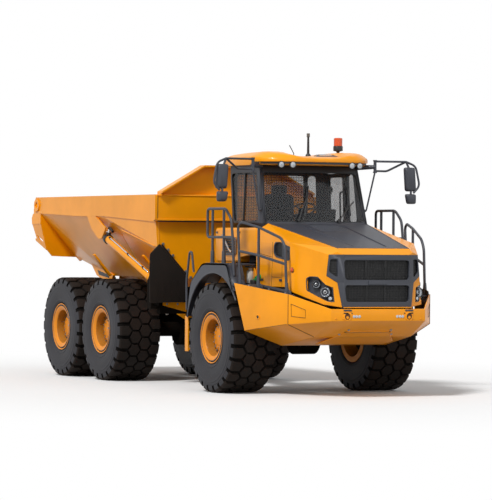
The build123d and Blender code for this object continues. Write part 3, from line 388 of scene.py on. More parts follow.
def shrunk(outline, reach):
    # an outline's corners moved towards its middle along both of their edges
    corners = [Vector(p) for p in outline]
    nearer = []
    for index, corner in enumerate(corners):
        before = (corners[index - 1] - corner).normalized()
        after = (corners[(index + 1) % len(corners)] - corner).normalized()
        bend = before.cross(after).length
        nearer.append(corner if bend < 0.3 else corner + (before + after) * reach / bend)
    return nearer


def moved(outline, run):
    return [Vector(p) + Vector(run) for p in outline]


def rect(left, right, low, high):
    return [(left, low), (right, low), (right, high), (left, high)]


def on(place, pairs, *more):
    # a flat outline set on a surface, which is a function of two lengths
    return [place(*pair, *more) for pair in pairs]


def atX(x, pairs):
    return [(x, y, z) for y, z in pairs]


def atY(y, pairs):
    return [(x, y, z) for x, z in pairs]


def atZ(z, pairs):
    return [(x, y, z) for x, y in pairs]


def circle(count, turnBy=0.0):
    # cosine and sine of evenly spaced angles, from a share of one step
    angles = [2 * math.pi * (number + turnBy) / count for number in range(count)]
    return [(math.cos(angle), math.sin(angle)) for angle in angles]


class form:
    # gathers faces in millimetres, each with the number of its finish
    def __init__(self):
        self.points = []
        self.faces = []
        self.finishes = []

    def skin(self, rings, paint=0, wrap=True, loop=False, caps=False):
        # faces between rings with as many points each; wrap closes each ring, loop the row of rings
        count, rows = len(rings[0]), len(rings)
        start = len(self.points)
        faces = []
        for row in range(rows if loop else rows - 1):
            here, there = start + row * count, start + (row + 1) % rows * count
            for k in range(count if wrap else count - 1):
                j = (k + 1) % count
                faces.append([here + k, here + j, there + j, there + k])
        if caps:
            last = start + (rows - 1) * count
            faces += [list(reversed(range(start, start + count))), list(range(last, last + count))]
        self.points += [Vector(p) for ring in rings for p in ring]
        self.faces += faces
        self.finishes += [paint] * len(faces)
        return self

    def loft(self, rings, paint=0):
        return self.skin(rings, paint, caps=True)

    def slab(self, outline, run, radius=0, paint=0, parts=4):
        # flat outline of 3-D corners moved along a vector
        outline = rounded(outline, radius, parts) if radius else outline
        return self.loft([outline, moved(outline, run)], paint)

    def box(self, x0, x1, y0, y1, z0, z1, paint=0):
        return self.slab(atZ(z0, rect(x0, x1, y0, y1)), (0, 0, z1 - z0), 0, paint)

    def frame(self, outer, inner, run, radius=0, paint=0, outerRadius=0):
        # flat ring between two outlines with as many corners, moved along a vector
        outside, inside = rounded(outer, outerRadius), rounded(inner, radius)
        count, start = len(inside), len(self.points)
        self.points += [*outside, *inside, *moved(outside, run), *moved(inside, run)]
        for k in range(count):
            here, there = ([start + row * count + i for row in range(4)] for i in (k, (k + 1) % count))
            self.faces += [
                [here[0], there[0], there[1], here[1]], [there[2], here[2], here[3], there[3]],
                [there[0], here[0], here[2], there[2]], [here[1], there[1], there[3], here[3]],
            ]
        self.finishes += [paint] * 4 * count
        return self

    def turn(self, profile, centre, axis=(0, 0, 1), steps=48, paint=0, closed=False):
        # profile of (along the axis, radius) swept round an axis
        axis, centre = Vector(axis).normalized(), Vector(centre)
        side = axis.orthogonal().normalized()
        other = axis.cross(side)
        rings = []
        for cosine, sine in circle(steps):
            out = side * cosine + other * sine
            rings.append([centre + axis * along + out * radius for along, radius in profile])
        return self.skin(rings, paint, wrap=closed, loop=True)

    def rod(self, start, end, radius, steps=20, paint=0, endRadius=None):
        start, end = Vector(start), Vector(end)
        length = (end - start).length
        far = radius if endRadius is None else endRadius
        return self.turn([(0, 0), (0, radius), (length, far), (length, 0)], start, end - start, steps, paint)

    def tube(self, points, radius, steps=14, paint=0, bend=0):
        # round tube along straight runs with rounded corners
        route = eased([Vector(p) for p in points], bend, 6)
        side = (route[1] - route[0]).orthogonal()
        rings = []
        for index, place in enumerate(route):
            way = (route[min(index + 1, len(route) - 1)] - route[max(index - 1, 0)]).normalized()
            side = (side - way * side.dot(way)).normalized()
            other = way.cross(side)
            rings.append([place + (side * cosine + other * sine) * radius for cosine, sine in circle(steps)])
        return self.loft(rings, paint)

    def bolt(self, place, axis, radius=14, paint=0):
        place, axis = Vector(place), Vector(axis).normalized()
        self.rod(place, place + axis * radius * 0.25, radius * 1.5, 16, paint)
        return self.rod(place, place + axis * radius, radius, 6, paint)

    def mirrored(self):
        # the same faces again on the other side of the truck
        start = len(self.points)
        self.points += [Vector((p.x, -p.y, p.z)) for p in self.points]
        self.faces += [[start + i for i in reversed(face)] for face in self.faces]
        self.finishes += self.finishes
        return self

    def flipped(self):
        # a copy on the other side of the truck only
        copy = form()
        copy.points = [Vector((p.x, -p.y, p.z)) for p in self.points]
        copy.faces = [list(reversed(face)) for face in self.faces]
        copy.finishes = list(self.finishes)
        return copy

    def mesh(self, name, finishes, bevel=0, segments=2, smooth=35, atZero=False, weld=0.01):
        made = bpy.data.meshes.new(name)
        work = bmesh.new()
        verts = [work.verts.new(p / 1000 if atZero else spot(*p)) for p in self.points]
        for face, paint in zip(self.faces, self.finishes):
            corners = [verts[i] for i in face]
            try:
                work.faces.new(corners).material_index = paint
            except ValueError:
                continue
        bmesh.ops.remove_doubles(work, verts=work.verts, dist=weld / 1000)
        bmesh.ops.dissolve_degenerate(work, dist=weld / 1000, edges=work.edges)
        bmesh.ops.recalc_face_normals(work, faces=work.faces)
        if bevel:
            bevelEdges(work, bevel, segments, 0.6, 30, 180)
        return shaded(made, work, smooth, [paints[paint] for paint in finishes])

    def dress(self, name, finishes, body, slot, *replaced, **build):
        return piece(name, self.mesh(name, finishes, **build), body, slot, *replaced)


def bevelEdges(work, width, segments, profile, least, most):
    # round the edges that turn by more than least and less than most degrees
    edges = [edge for edge in work.edges if len(edge.link_faces) == 2]
    sharp = [edge for edge in edges if least < math.degrees(edge.calc_face_angle(0)) <= most]
    bmesh.ops.bevel(
        work, geom=sharp, offset=width / 1000, segments=segments, profile=profile,
        affect="EDGES", clamp_overlap=True,
    )


def shaded(mesh, work, smooth, materials=()):
    work.to_mesh(mesh)
    work.free()
    mesh.shade_smooth()
    mesh.set_sharp_from_angle(angle=math.radians(smooth))
    for material in materials:
        mesh.materials.append(material)
    return mesh


def linked(name, data):
    made = bpy.data.objects.new(name, data)
    bpy.context.scene.collection.objects.link(made)
    return made


def piece(name, mesh, body, slot, *replaced, at=None):
    made = linked(name, mesh)
    if at:
        made.location = at
    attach(made, body)
    if replaced:
        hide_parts(*replaced)
    return made


# Camera, lamps and floor

camera = {
    "place": (40889.7, -20456.9, 2206.5), "ahead": (-0.902593, 0.430486, -0.002712),
    "roll": 0.433, "lens": 221.25, "reach": 400,
}
lamps = {
    "keyLamp": {"towards": (0.42, -0.62, 0.80), "strength": 2.5, "soft": 10},
    "fillLamp": {"towards": (0.95, 0.35, 0.45), "strength": 0.45, "soft": 60},
}
ahead = Vector(camera["ahead"]).normalized()
right = ahead.cross(Vector((0, 0, 1))).normalized()
roll = Matrix.Rotation(math.radians(camera["roll"]), 3, -ahead)
right, up = roll @ right, roll @ right.cross(ahead)
lens = bpy.data.cameras.new("camera")
lens.lens = camera["lens"]
lens.sensor_width = 36
lens.clip_end = camera["reach"]
cameraObject = linked("camera", lens)
turned = Matrix((right, up, -ahead)).transposed().to_4x4()
cameraObject.matrix_world = Matrix.Translation(spot(*camera["place"])) @ turned
bpy.context.scene.camera = cameraObject
bpy.context.scene.view_settings.view_transform = "Standard"
for name, lamp in lamps.items():
    light = bpy.data.lights.new(name, "SUN")
    light.energy = lamp["strength"]
    light.angle = math.radians(lamp["soft"])
    linked(name, light).rotation_euler = Vector(lamp["towards"]).to_track_quat("Z", "Y").to_euler()


def studioAir(shade):
    # plain white where it is seen, dimmer as a light on the truck
    world = bpy.data.worlds.new("studio")
    world.use_nodes = True
    made = network(world.node_tree, "ShaderNodeOutputWorld")
    colour = (1, 1, 1, 1)
    dim, white = (
        made.node("ShaderNodeBackground", None, {"Color": colour, "Strength": level})
        for level in (shade, 1.0)
    )
    made.show(made.node("ShaderNodeMixShader", None, {0: made.seen("Transmission"), 1: dim, 2: white}))
    bpy.context.scene.world = world


def studioFloor(bounce, seen):
    # pale floor that fades to plain white away from the truck
    made = finish("studioFloor")
    grain = made.noise(9, 3.0)
    flat = made.node("ShaderNodeVectorMath", {"operation": "MULTIPLY"}, {0: made.place, 1: (0.8, 1.1, 0)})
    away = made.node("ShaderNodeVectorMath", {"operation": "LENGTH"}, {0: flat}, out=1).between(4.5, 11.0)
    looking = made.seen()
    # seen directly it is pale; as a light from below it is darker
    values = {
        "Base Color": made.blend(looking, bounce, seen), "Roughness": 0.8 + 0.1 * grain,
        "Specular IOR Level": 0.1,
    }
    matt = made.node("ShaderNodeBsdfPrincipled", None, values)
    lit = made.node("ShaderNodeEmission", None, {"Color": (1, 1, 1, 1), "Strength": 1.0})
    made.show(made.node("ShaderNodeMixShader", None, {0: looking * away, 1: matt, 2: lit}))
    return made.material


studioAir(0.4)
paints["floor"] = studioFloor((0.42, 0.41, 0.4), (0.9, 0.9, 0.9))
floorForm = form().box(-62000, 58000, -60000, 60000, -tyreSink - 20, -tyreSink)
floorObject = linked("studioFloor", floorForm.mesh("studioFloor", ["floor"]))
print("camera, lamps and floor in place")


# Tyres and rims; X and Z round the wheel, Y outwards

acrossWheel = ((0, 0, 0), (0, 1, 0))
tyreLook = {
    "lugs": 24, "crown": 807, "low": 777, "columns": (83, 249), "columnWidth": 166, "zigzag": 24, "groove": 9,
    "shoulderGap": 0.13, "blockGap": 0.055, "slope": 6, "ramp": 0.03, "darkFrom": 709,
    # half of the carcass from the bead to the crown, as (y, radius)
    "carcass": [
        (318, 330), (326, 384), (338, 391), (352, 408), (363, 430), (365, 440), (361, 448), (366, 478),
        (373, 530), (375, 575), (374, 615), (371, 640), (373, 646), (373, 652), (369, 658), (366, 684),
        (367, 690), (365, 696), (358, 707), (346, 716), (336, 732), (326, 748), (312, 764), (296, 777),
        (250, 780), (83, 781),
    ],
    # outer ends of a shoulder block, at its middle and at its foot
    "shoulderTop": [(318, 805), (333, 798), (347, 772), (357, 742), (362, 712), (358, 706)],
    "shoulderFoot": [(290, 777), (306, 767), (324, 748), (334, 732), (350, 712), (356, 706)],
}


def faceRadii(made):
    # each face's mean distance from the wheel's axis
    away = [math.hypot(p.x, p.z) for p in made.points]
    return [sum(away[k] for k in face) / len(face) for face in made.faces]


def tyreForm():
    # carcass with its rings, then four rows of six-sided blocks
    look = tyreLook
    low, top, slope, lugs = look["low"], look["crown"], look["slope"], look["lugs"]
    half, groove = look["columnWidth"] / 2, look["groove"]
    made = form()
    made.turn(look["carcass"] + [(-y, r) for y, r in reversed(look["carcass"])], *acrossWheel, 96)
    # the carcass past darkFrom, in the gaps between the blocks, takes the darkest rubber as painted shade
    made.finishes = [2 if radius > look["darkFrom"] else 0 for radius in faceRadii(made)]

    def middleLine(reach, high):
        edge = half + reach - groove
        if high:
            return [(-edge, low), (slope - edge, top), (edge - slope, top), (edge, low)]
        return [(-edge, low), (-edge, low), (edge, low), (edge, low)]

    def shoulderLine(reach, high):
        start = look["columns"][1] - half + reach + groove
        if high:
            return [(start, low), (start + slope, top), *look["shoulderTop"]]
        return [(start, low), (start, low), *look["shoulderFoot"]]

    def row(line, zigzag, gap, turnBy, place):
        # a ring of blocks, each with five stations; its outer ends are as pale as the sidewall, partly as a
        # painted highlight, and dark on their ramps as painted shade
        edge, ramp = 0.5 - gap, look["ramp"]
        stations = (
            (-edge, zigzag, False), (-edge + ramp, zigzag, True), (0, -zigzag, True),
            (edge - ramp, zigzag, True), (edge, zigzag, False),
        )
        for number in range(lugs):
            rings = []
            for share, reach, high in stations:
                angle = (number + turnBy + share) * 2 * math.pi / lugs
                points = [(place(y), r) for y, r in line(reach, high)]
                rings.append([(math.cos(angle) * r, y, math.sin(angle) * r) for y, r in points])
            start, across = len(made.faces), len(rings[0]) - 1
            made.skin(rings, 1, wrap=False)
            for strip, paint in enumerate((2, 0, 0, 2)):
                for k in range(4, across):
                    made.finishes[start + strip * across + k] = paint

    for sign, stagger in ((-1, 0.5), (1, 0.0)):
        row(middleLine, -look["zigzag"], look["blockGap"], stagger, lambda y: sign * look["columns"][0] + y)
        row(shoulderLine, look["zigzag"], look["shoulderGap"], 0.5 - stagger, lambda y: sign * y)
    return made


rimLook = {
    # the rim from its outer bead seat to the hub, as (y, radius)
    "face": [
        (331, 320), (331, 378), (334, 382), (343, 382), (348, 378), (349, 368), (345, 361), (337, 359),
        (334, 356), (334, 351), (339, 350), (345, 346), (346, 334), (343, 320), (334, 300), (325, 283),
        (320, 275), (314, 270), (300, 267), (182, 262), (178, 258), (178, 204), (181, 198), (208, 190),
        (215, 184), (217, 178), (217, 118), (224, 114), (226, 108), (226, 52), (229, 48), (229, 0),
    ],
    "back": [(331, 320), (120, 300), (-345, 298), (-345, 382), (-331, 382), (-331, 322), (110, 318)],
    "lockRing": [(333, 357), (335, 357), (335, 350), (333, 350)],
    # count, turn, radius of the circle, then each nut's steps as (from, to, radius, sides)
    "nuts": (20, 0, 229, ((176, 186, 17, 12), (186, 202, 14, 6), (202, 212, 7, 8))),
    "coverBolts": (12, 0.5, 152, ((215, 227, 11, 6),)),
    "finishes": ["wheelYellow", "black", "zinc", "wheelShade"],
}


def rimForm():
    # rim turned in one go, with the wheel nuts and the hub's cover
    made = form()
    made.turn(rimLook["face"], *acrossWheel, 72)
    # painted shade: the bowl behind the rim's lip is painted darker and the gaps round it black
    for index, radius in enumerate(faceRadii(made)):
        if 180 < radius < 272:
            made.finishes[index] = 3
        elif 378 < radius < 384 or 338 < radius < 358:
            made.finishes[index] = 1
    made.turn(rimLook["back"], *acrossWheel, 72)
    made.turn(rimLook["lockRing"], *acrossWheel, 72, 1, True)
    for count, turnBy, reach, steps in (rimLook["nuts"], rimLook["coverBolts"]):
        for cosine, sine in circle(count, turnBy):
            x, z = cosine * reach, sine * reach
            for start, end, radius, sides in steps:
                made.rod((x, start, z), (x, end, z), radius, sides, 2)
    made.rod((40, 226, 20), (40, 238, 20), 15, 6, 2)
    made.rod((-250, 225, 70), (-268, 262, 70), 5, 8, 1)
    return made


tyreMesh = tyreForm().mesh("tyre", ["sidewall", "tread", "groove"], atZero=True, smooth=28, weld=0.2)
rimMeshes = [
    shape.mesh("rim", rimLook["finishes"], atZero=True, smooth=30)
    for shape in (rimForm(), rimForm().flipped())
]
for axle, x in axlePlaces.items():
    for side, sign, rimMesh in (("left", 1, rimMeshes[0]), ("right", -1, rimMeshes[1])):
        wheel = f"{axle}_{side}"
        place = spot(x, sign * wheelMiddle, axleHeight)
        piece(f"{wheel}_treadedTyre", tyreMesh, f"{wheel}_wheel", "tyre_rubber", f"{wheel}_tyre", at=place)
        piece(f"{wheel}_rimAndHub", rimMesh, f"{wheel}_wheel", "yellow_paint", f"{wheel}_rim", at=place)
print("tyres and rims made")


# Cab

cabLook = {
    "front": 405, "rear": -1150, "half": 848, "corner": -841, "rightCorner": (-700, -861), "rearHalf": 600,
    "floor": 1900, "sill": 2470, "lowSill": 2300, "top": 3385, "frontLean": 0.3145, "sideLean": 39 / 915,
    "wall": 42, "corners": 70, "seal": 9, "pane": 7, "paneDepth": 14, "bar": -341, "doorPost": -180,
    "windscreen": ((820, 2504), (774, 3238)), "rightPane": (0.1, 0.94, 2500, 3225),
    "leftPane": (0.5, 0.94, 2360, 3225), "rearWindow": (-580, 580, 2350, 3225),
    "sideWindow": ((-655, 2500), (176, 2510), (72, 3234), (-815, 3234)),
    "leftWindow": ((-150, 2500), (157, 2510), (64, 3234), (-150, 3234)),
    # low, high, bottom, top
    "door": (-825, -225, 1920, 3245), "doorWindow": (-765, -285, 2290, 3195),
    "doorway": (-831, -209, 1914, 3251), "doorCorners": 45,
    "hinges": (2060, 3000), "hingePlace": (-835, 870), "hingeRadius": 14,
}


def cabSide(x, z, sign, depth=0):
    look = cabLook
    return (x, sign * (look["half"] - depth - look["sideLean"] * max(0, z - look["sill"])), z)


def cabFront(y, z, depth=0):
    look = cabLook
    return (look["front"] - depth - look["frontLean"] * max(0, z - look["sill"]), y, z)


def cabCorner(share, z, sign, nearLow, nearHigh):
    # on the slanted panel between a side and the rear
    near = cabSide(nearLow if z < 3000 else nearHigh, z, sign)
    return between(near, (cabLook["rear"], sign * cabLook["rearHalf"], z), share)


def cabWindows():
    # each window's four corners, and the way from outside to inside
    look = cabLook
    (low, lowHeight), (high, highHeight) = look["windscreen"]
    windscreen = [(-low, lowHeight), (low, lowHeight), (high, highHeight), (-high, highHeight)]
    leftCorner = on(cabCorner, rect(*look["leftPane"]), 1, look["corner"], look["corner"])
    return {
        "front": (on(cabFront, windscreen), (-1, 0, 0)),
        "right": (on(cabSide, look["sideWindow"], -1), (0, 1, 0)),
        "left": (on(cabSide, look["leftWindow"], 1), (0, -1, 0)),
        "rear": (atX(look["rear"], rect(*look["rearWindow"])), (1, 0, 0)),
        "rightCorner": (on(cabCorner, rect(*look["rightPane"]), -1, *look["rightCorner"]), (0.62, 0.78, 0)),
        "leftCorner": (leftCorner, (0.62, -0.78, 0)),
    }


def doorOutline(low, high, bottom, top, depth=0):
    # six corners on the cab's left side, with a bend at the sill
    sill = cabLook["sill"]
    pairs = [(low, bottom), (high, bottom), (high, sill), (high, top), (low, top), (low, sill)]
    return on(cabSide, pairs, 1, depth)


def cabShellForm():
    look = cabLook
    made = form()
    wall, half, rearHalf, rear, corner = (look[key] for key in ("wall", "half", "rearHalf", "rear", "corner"))
    floor, sill, lowSill, top, front = (look[key] for key in ("floor", "sill", "lowSill", "top", "front"))
    post, rounding = look["doorPost"], look["corners"]
    nearLow, nearTop = look["rightCorner"]
    frontTop, halfTop = cabFront(0, top)[0], cabSide(0, top, 1)[1]
    panels = {
        "front": on(cabFront, [(-half, sill), (half, sill), (halfTop, top), (-halfTop, top)]),
        "right": on(cabSide, [(nearLow, sill), (front, sill), (frontTop, top), (nearTop, top)], -1),
        "left": on(cabSide, [(post, sill), (front, sill), (frontTop, top), (post, top)], 1),
        "rear": atX(rear, rect(-rearHalf, rearHalf, lowSill, top)),
        "rightCorner": [
            cabSide(nearLow, sill, -1), (rear, -rearHalf, sill),
            (rear, -rearHalf, top), cabSide(nearTop, top, -1),
        ],
        "leftCorner": [
            cabSide(corner, lowSill, 1), (rear, rearHalf, lowSill),
            (rear, rearHalf, top), cabSide(corner, top, 1),
        ],
    }
    for name, (window, inwards) in cabWindows().items():
        # the panel round a window, and the window's black seal
        inwards = Vector(inwards)
        made.frame(panels[name], window, inwards * wall, rounding)
        rim, lip = moved(window, inwards * -3), moved(shrunk(window, look["seal"]), inwards * -3)
        made.frame(rim, lip, inwards * 20, rounding, 1, rounding)
    # solid panels below the windows, in plan
    for start, end, height in (
        ((front, -half), (nearLow, -half), sill), ((nearLow, -half), (rear, -rearHalf), sill),
        ((front, half), (post, half), sill), ((corner, half), (rear, rearHalf), lowSill),
        ((rear, rearHalf), (rear, -rearHalf), lowSill), ((front, -half), (front, half), sill),
    ):
        start, end = Vector((*start, floor)), Vector((*end, floor))
        run, inwards = end - start, Vector((-350, 0, floor)) - (start + end) / 2
        inwards = (inwards - run * inwards.dot(run) / run.length_squared).normalized()
        rise = Vector((0, 0, height - floor))
        made.slab([start, end, end + rise, start + rise], inwards * wall)
    # door's frame, floor, black header over the windscreen, and the bar in the right window
    made.frame(doorOutline(corner, post, floor, top), doorOutline(*look["doorway"]), (0, -wall, 0))
    plan = [
        (front - 5, -half + 5), (front - 5, half - 5), (corner, half - 5), (rear + 5, rearHalf),
        (rear + 5, -rearHalf), (nearLow, -half + 5),
    ]
    made.slab(atZ(floor, plan), (0, 0, 45), 0, 1)
    header = [cabFront(-780, z, depth) for z, depth in ((3240, -16), (3345, -16), (3345, 30), (3240, 30))]
    made.slab(header, (0, 1560, 0), 0, 1)
    bar = rect(look["bar"] - 11, look["bar"] + 11, 2500, 3234)
    made.slab(on(cabSide, bar, -1, -4), (0, 26, 0), 0, 1)
    for z in look["hinges"]:
        for low in (z - 62, z + 30.5):
            hingeLeaf(made, low, low + 31.5, (-880, -835), (-880, -855), 800)
    return made


def hingeLeaf(made, low, high, arm, foot, depth):
    # half of a door hinge: its knuckle, its arm and its foot on the panel
    x, y = cabLook["hingePlace"]
    made.rod((x, y, low), (x, y, high), cabLook["hingeRadius"], 20, 1)
    made.box(*arm, y - 8, y + 8, low, high, 1)
    made.box(*foot, depth, y + 8, low, high, 1)


def cabPaneForm():
    made = form()
    for window, inwards in cabWindows().values():
        inwards = Vector(inwards)
        start = moved(shrunk(window, -4), inwards * cabLook["paneDepth"])
        made.slab(start, inwards * cabLook["pane"], cabLook["corners"])
    return made


def doorForm():
    look = cabLook
    made = form()
    rounding = look["doorCorners"]
    window = look["doorWindow"]
    made.frame(doorOutline(*look["door"]), doorOutline(*window), (0, -look["wall"], 0), rounding)
    rim = doorOutline(*window, -3)
    made.frame(rim, shrunk(rim, look["seal"]), (0, -18, 0), rounding, 1, rounding)
    # pressed panel, recessed cup with its bar, and the grab handle inside
    made.slab(atY(850, rect(-735, -315, 1990, 2230)), (0, 7, 0), 40)
    made.slab(atY(846, rect(-330, -240, 2330, 2400)), (0, 7, 0), 20, 1)
    made.tube([(-320, 852, 2375), (-320, 880, 2375), (-250, 880, 2375), (-250, 852, 2375)], 8, 10, 1, 14)
    made.tube([(-270, 800, 2480), (-270, 745, 2500), (-270, 735, 2950), (-270, 780, 2970)], 13, 12, 1, 35)
    for z in look["hinges"]:
        hingeLeaf(made, z - 30, z + 30, (-835, -790), (-815, -790), 806)
    return made


def doorPaneForm():
    look = cabLook
    outline = doorOutline(*look["doorWindow"], look["paneDepth"])
    return form().slab(outline, (0, -look["pane"], 0), look["doorCorners"])


roofLook = {
    # x and half width, then the heights over the cab's top of the underside, edge, humps and middle
    "stations": (
        (-1170, 690, -50, 40, 70, 50), (-1000, 850, -50, 62, 104, 68), (-800, 940, -50, 70, 122, 80),
        (-350, 946, -50, 76, 140, 92), (100, 946, -50, 80, 148, 100), (165, 940, 0, 80, 150, 100),
        (300, 900, 0, 72, 140, 95), (440, 770, 0, 56, 118, 84), (521, 650, 0, 42, 92, 68),
        (555, 482, 0, 30, 54, 48),
    ),
    # half of the visor in plan, and its two layers: inset, low, high, finish
    "visor": [(150, 928), (165, 928), (300, 888), (521, 640), (548, 478)],
    "visorLayers": ((6, 3346, 3386, 1), (34, 3339, 3347, 0)),
    "scoop": (
        [(170, -40, 3430), (170, 410, 3440), (553, 385, 3384), (556, -110, 3384)],
        [(200, 90, 3506), (200, 372, 3508), (470, 368, 3462), (470, -60, 3452)],
    ),
    # pale plate on the scoop, a painted reflection of the sky
    "scoopReflectionPlate": (
        [(214, 120, 3500), (214, 320, 3502), (330, 300, 3484), (330, 90, 3478)],
        [(214, 120, 3512), (214, 320, 3514), (330, 300, 3492), (330, 90, 3486)],
    ),
    "rib": [(-900, 3480), (40, 3500), (60, 3538), (-60, 3540), (-900, 3508)], "ribPlaces": (-700, 560),
}


def roofForm():
    look, top = roofLook, cabLook["top"]
    made = form()
    rings = []
    for x, halfWidth, under, edge, hump, middle in look["stations"]:
        valley = 0.29 + 0.2 * max(0, min(1, (x - 100) / 340))
        half = [
            (0.955, 0), (0.955, min(under + 4, 0)),
            (1, under), (1, edge - 30), (0.992, edge - 8), (0.97, edge + 6), (0.9, edge * 0.35 + hump * 0.65),
            (0.83, hump), (0.74, hump + 6), (valley + 0.22, hump + 6), (valley + 0.13, hump - 2),
            (valley + 0.07, (hump + middle) / 2 + 2), (valley, middle + 2), (valley * 0.6, middle - 3),
            (0.07, middle - 6),
        ]
        whole = half + [(-share, rise) for share, rise in reversed(half)]
        rings.append([(x, halfWidth * share, top + rise) for share, rise in whole])
    made.loft(rings)
    # dark visor strip under the roof's front with a painted edge line below it
    for inset, low, high, paint in look["visorLayers"]:
        plan = [(x - inset, y - inset) for x, y in look["visor"]]
        made.slab(atZ(low, plan + [(x, -y) for x, y in reversed(plan)]), (0, 0, high - low), 0, paint)
    # low dark scoop on the visor with a pale metal plate on it as a painted reflection of the sky, and
    # moulded ribs along the roof
    made.loft(look["scoop"], 1)
    made.loft(look["scoopReflectionPlate"], 2)
    for y in look["ribPlaces"]:
        made.slab(atY(y, look["rib"]), (0, 60, 0))
    return made


lampLook = {
    "places": ((462, -640), (484, -463), (480, 515), (458, 655)), "height": 3344, "facing": (1, 0, -0.05),
    # profile, sides and finish of the shell, the lens and the bulb
    "parts": (
        ([(0, 0), (0, 26), (20, 42), (60, 50), (68, 50), (68, 44), (60, 44)], 28, 0),
        ([(60, 44), (66, 34), (67, 12), (69, 9), (69, 0)], 28, 1),
        ([(58, 0), (60, 14), (70, 12), (71, 0)], 20, 2),
    ),
}


def workLampForm():
    made = form()
    z = lampLook["height"]
    for x, y in lampLook["places"]:
        for profile, steps, paint in lampLook["parts"]:
            made.turn(profile, (x, y, z), lampLook["facing"], steps, paint)
        made.box(x + 10, x + 34, y - 9, y + 9, z + 38, z + 50)
    return made


beaconLook = {
    "base": [
        (3480, 0), (3480, 24), (3560, 22), (3574, 30), (3580, 60), (3584, 72), (3640, 73), (3655, 68),
        (3655, 0),
    ],
    "ribs": 6, "ribPitch": 17, "domeFoot": [(3655, 62), (3660, 66)],
    "domeTop": [(3770, 64), (3777, 56), (3780, 40), (3780, 0)],
    "mast": [
        (3440, 0), (3440, 46), (3520, 40), (3535, 30), (3545, 20), (3790, 16), (3795, 26), (3800, 26),
        (3800, 0),
    ],
    "mastTop": [(3800, 24), (3845, 24), (3850, 18), (3850, 0)],
    "whipFoot": [(3470, 0), (3470, 20), (3500, 14), (3504, 0)],
    "beaconPlace": (-300, 711, 0), "mastPlace": (-600, 359, 0), "whipPlace": (-200, -83, 0),
}


def beaconForm():
    look = beaconLook
    dome = list(look["domeFoot"])
    for number in range(look["ribs"]):
        rise = number * look["ribPitch"]
        dome += [(3664 + rise, 64), (3672 + rise, 66)]
    made = form()
    made.turn(look["base"], look["beaconPlace"], steps=32)
    made.turn(dome + look["domeTop"], look["beaconPlace"], steps=36, paint=1)
    made.turn(look["mast"], look["mastPlace"], steps=20)
    made.turn(look["mastTop"], look["mastPlace"], steps=20, paint=2)
    made.tube([(-200, -83, 3480), (-200, -83, 3530), (-210, -150, 3650)], 7, 8, 0, 10)
    made.turn(look["whipFoot"], look["whipPlace"], steps=16)
    return made


mirrorLook = {
    "tube": 16, "post": (330, 1010), "top": 3385,
    # outline below the cab's top as (y, fall), rear, front and corner radius of each head
    "heads": (
        ([(1450, 50), (1632, 50), (1655, 410), (1475, 410)], 395, 470, 40),
        ([(1460, 448), (1642, 448), (1640, 598), (1490, 598)], 420, 490, 34),
    ),
    "headRings": ((0, 6), (0.12, 0), (0.55, 2), (0.85, 14), (1, 34)),
}


def mirrorForm():
    made = form()
    top, tube = mirrorLook["top"], mirrorLook["tube"]
    x, y = mirrorLook["post"]
    end = (420, 1486, top + 33)
    made.rod((150, 800, top - 60), (x, y, top - 50), 40, 16, 0, 30)
    made.rod((x, y, top - 140), (x, y, top + 52), 23)
    for z in (top - 140, top + 34):
        made.rod((x, y, z), (x, y, z + 20), 30)
    made.tube([(x, y, top + 33), end], tube)
    made.tube([(x, y, top - 110), (275, 1235, top - 110), end], tube, 14, 0, 40)
    hoop = [end, (440, 1640, top - 28), (455, 1700, top - 327), (450, 1600, top - 433)]
    made.tube(hoop, tube, 14, 0, 70)
    made.rod(end, (430, 1530, top - 60), tube)
    made.rod((445, 1560, top - 395), (445, 1556, top - 470), tube)
    # stay to the cab's corner with its foot
    made.tube([(283, 840, 2677), (283, 890, 2677), (x, y, top - 125)], 13, 12, 0, 20)
    made.turn([(0, 0), (6, 18), (20, 24), (34, 18), (40, 0)], (283, 846, 2677), (0, 1, 0), 16)
    for pairs, back, front, corner in mirrorLook["heads"]:
        outline = [(y, top - fall) for y, fall in pairs]
        rings = []
        for share, inset in mirrorLook["headRings"]:
            flat = atX(back + (front - back) * share, outline)
            rings.append(rounded(shrunk(flat, inset), corner))
        made.loft(rings)
        made.slab(shrunk(atX(back - 1, outline), 14), (-3, 0, 0), corner, 1)
    return made.mirrored()


inFront = "front_frame"
cabShellForm().dress("cabShellTrimmed", ["dark", "black"], inFront, "dark_paint", "cab_shell", bevel=3)
cabPaneForm().dress("cabPanes", ["glass"], inFront, "window_glass", "cab_glass")
doorForm().dress("cabDoorTrimmed", ["dark", "black"], "cab_door", "dark_paint", "cab_door", bevel=3)
doorPaneForm().dress("cabDoorPane", ["glass"], "cab_door", "window_glass", "door_glass")
roofForm().dress(
    "cabRoofShaped", ["yellow", "black", "zinc"], inFront, "yellow_paint", "cab_roof", bevel=5, smooth=45,
)
workLampForm().dress(
    "workLampsRound", ["black", "lens", "bulb"], inFront, "lamp_lens", "work_lamps", smooth=30,
)
beaconForm().dress(
    "beaconAndAerials", ["black", "amber", "engine"], inFront, "amber_plastic", "beacon_and_aerial",
    smooth=30,
)
mirrorForm().dress("mirrorsOnArms", ["dark", "chrome"], inFront, "dark_paint", "mirrors", smooth=40)
print("cab, roof, lamps and mirrors made")


# Hood

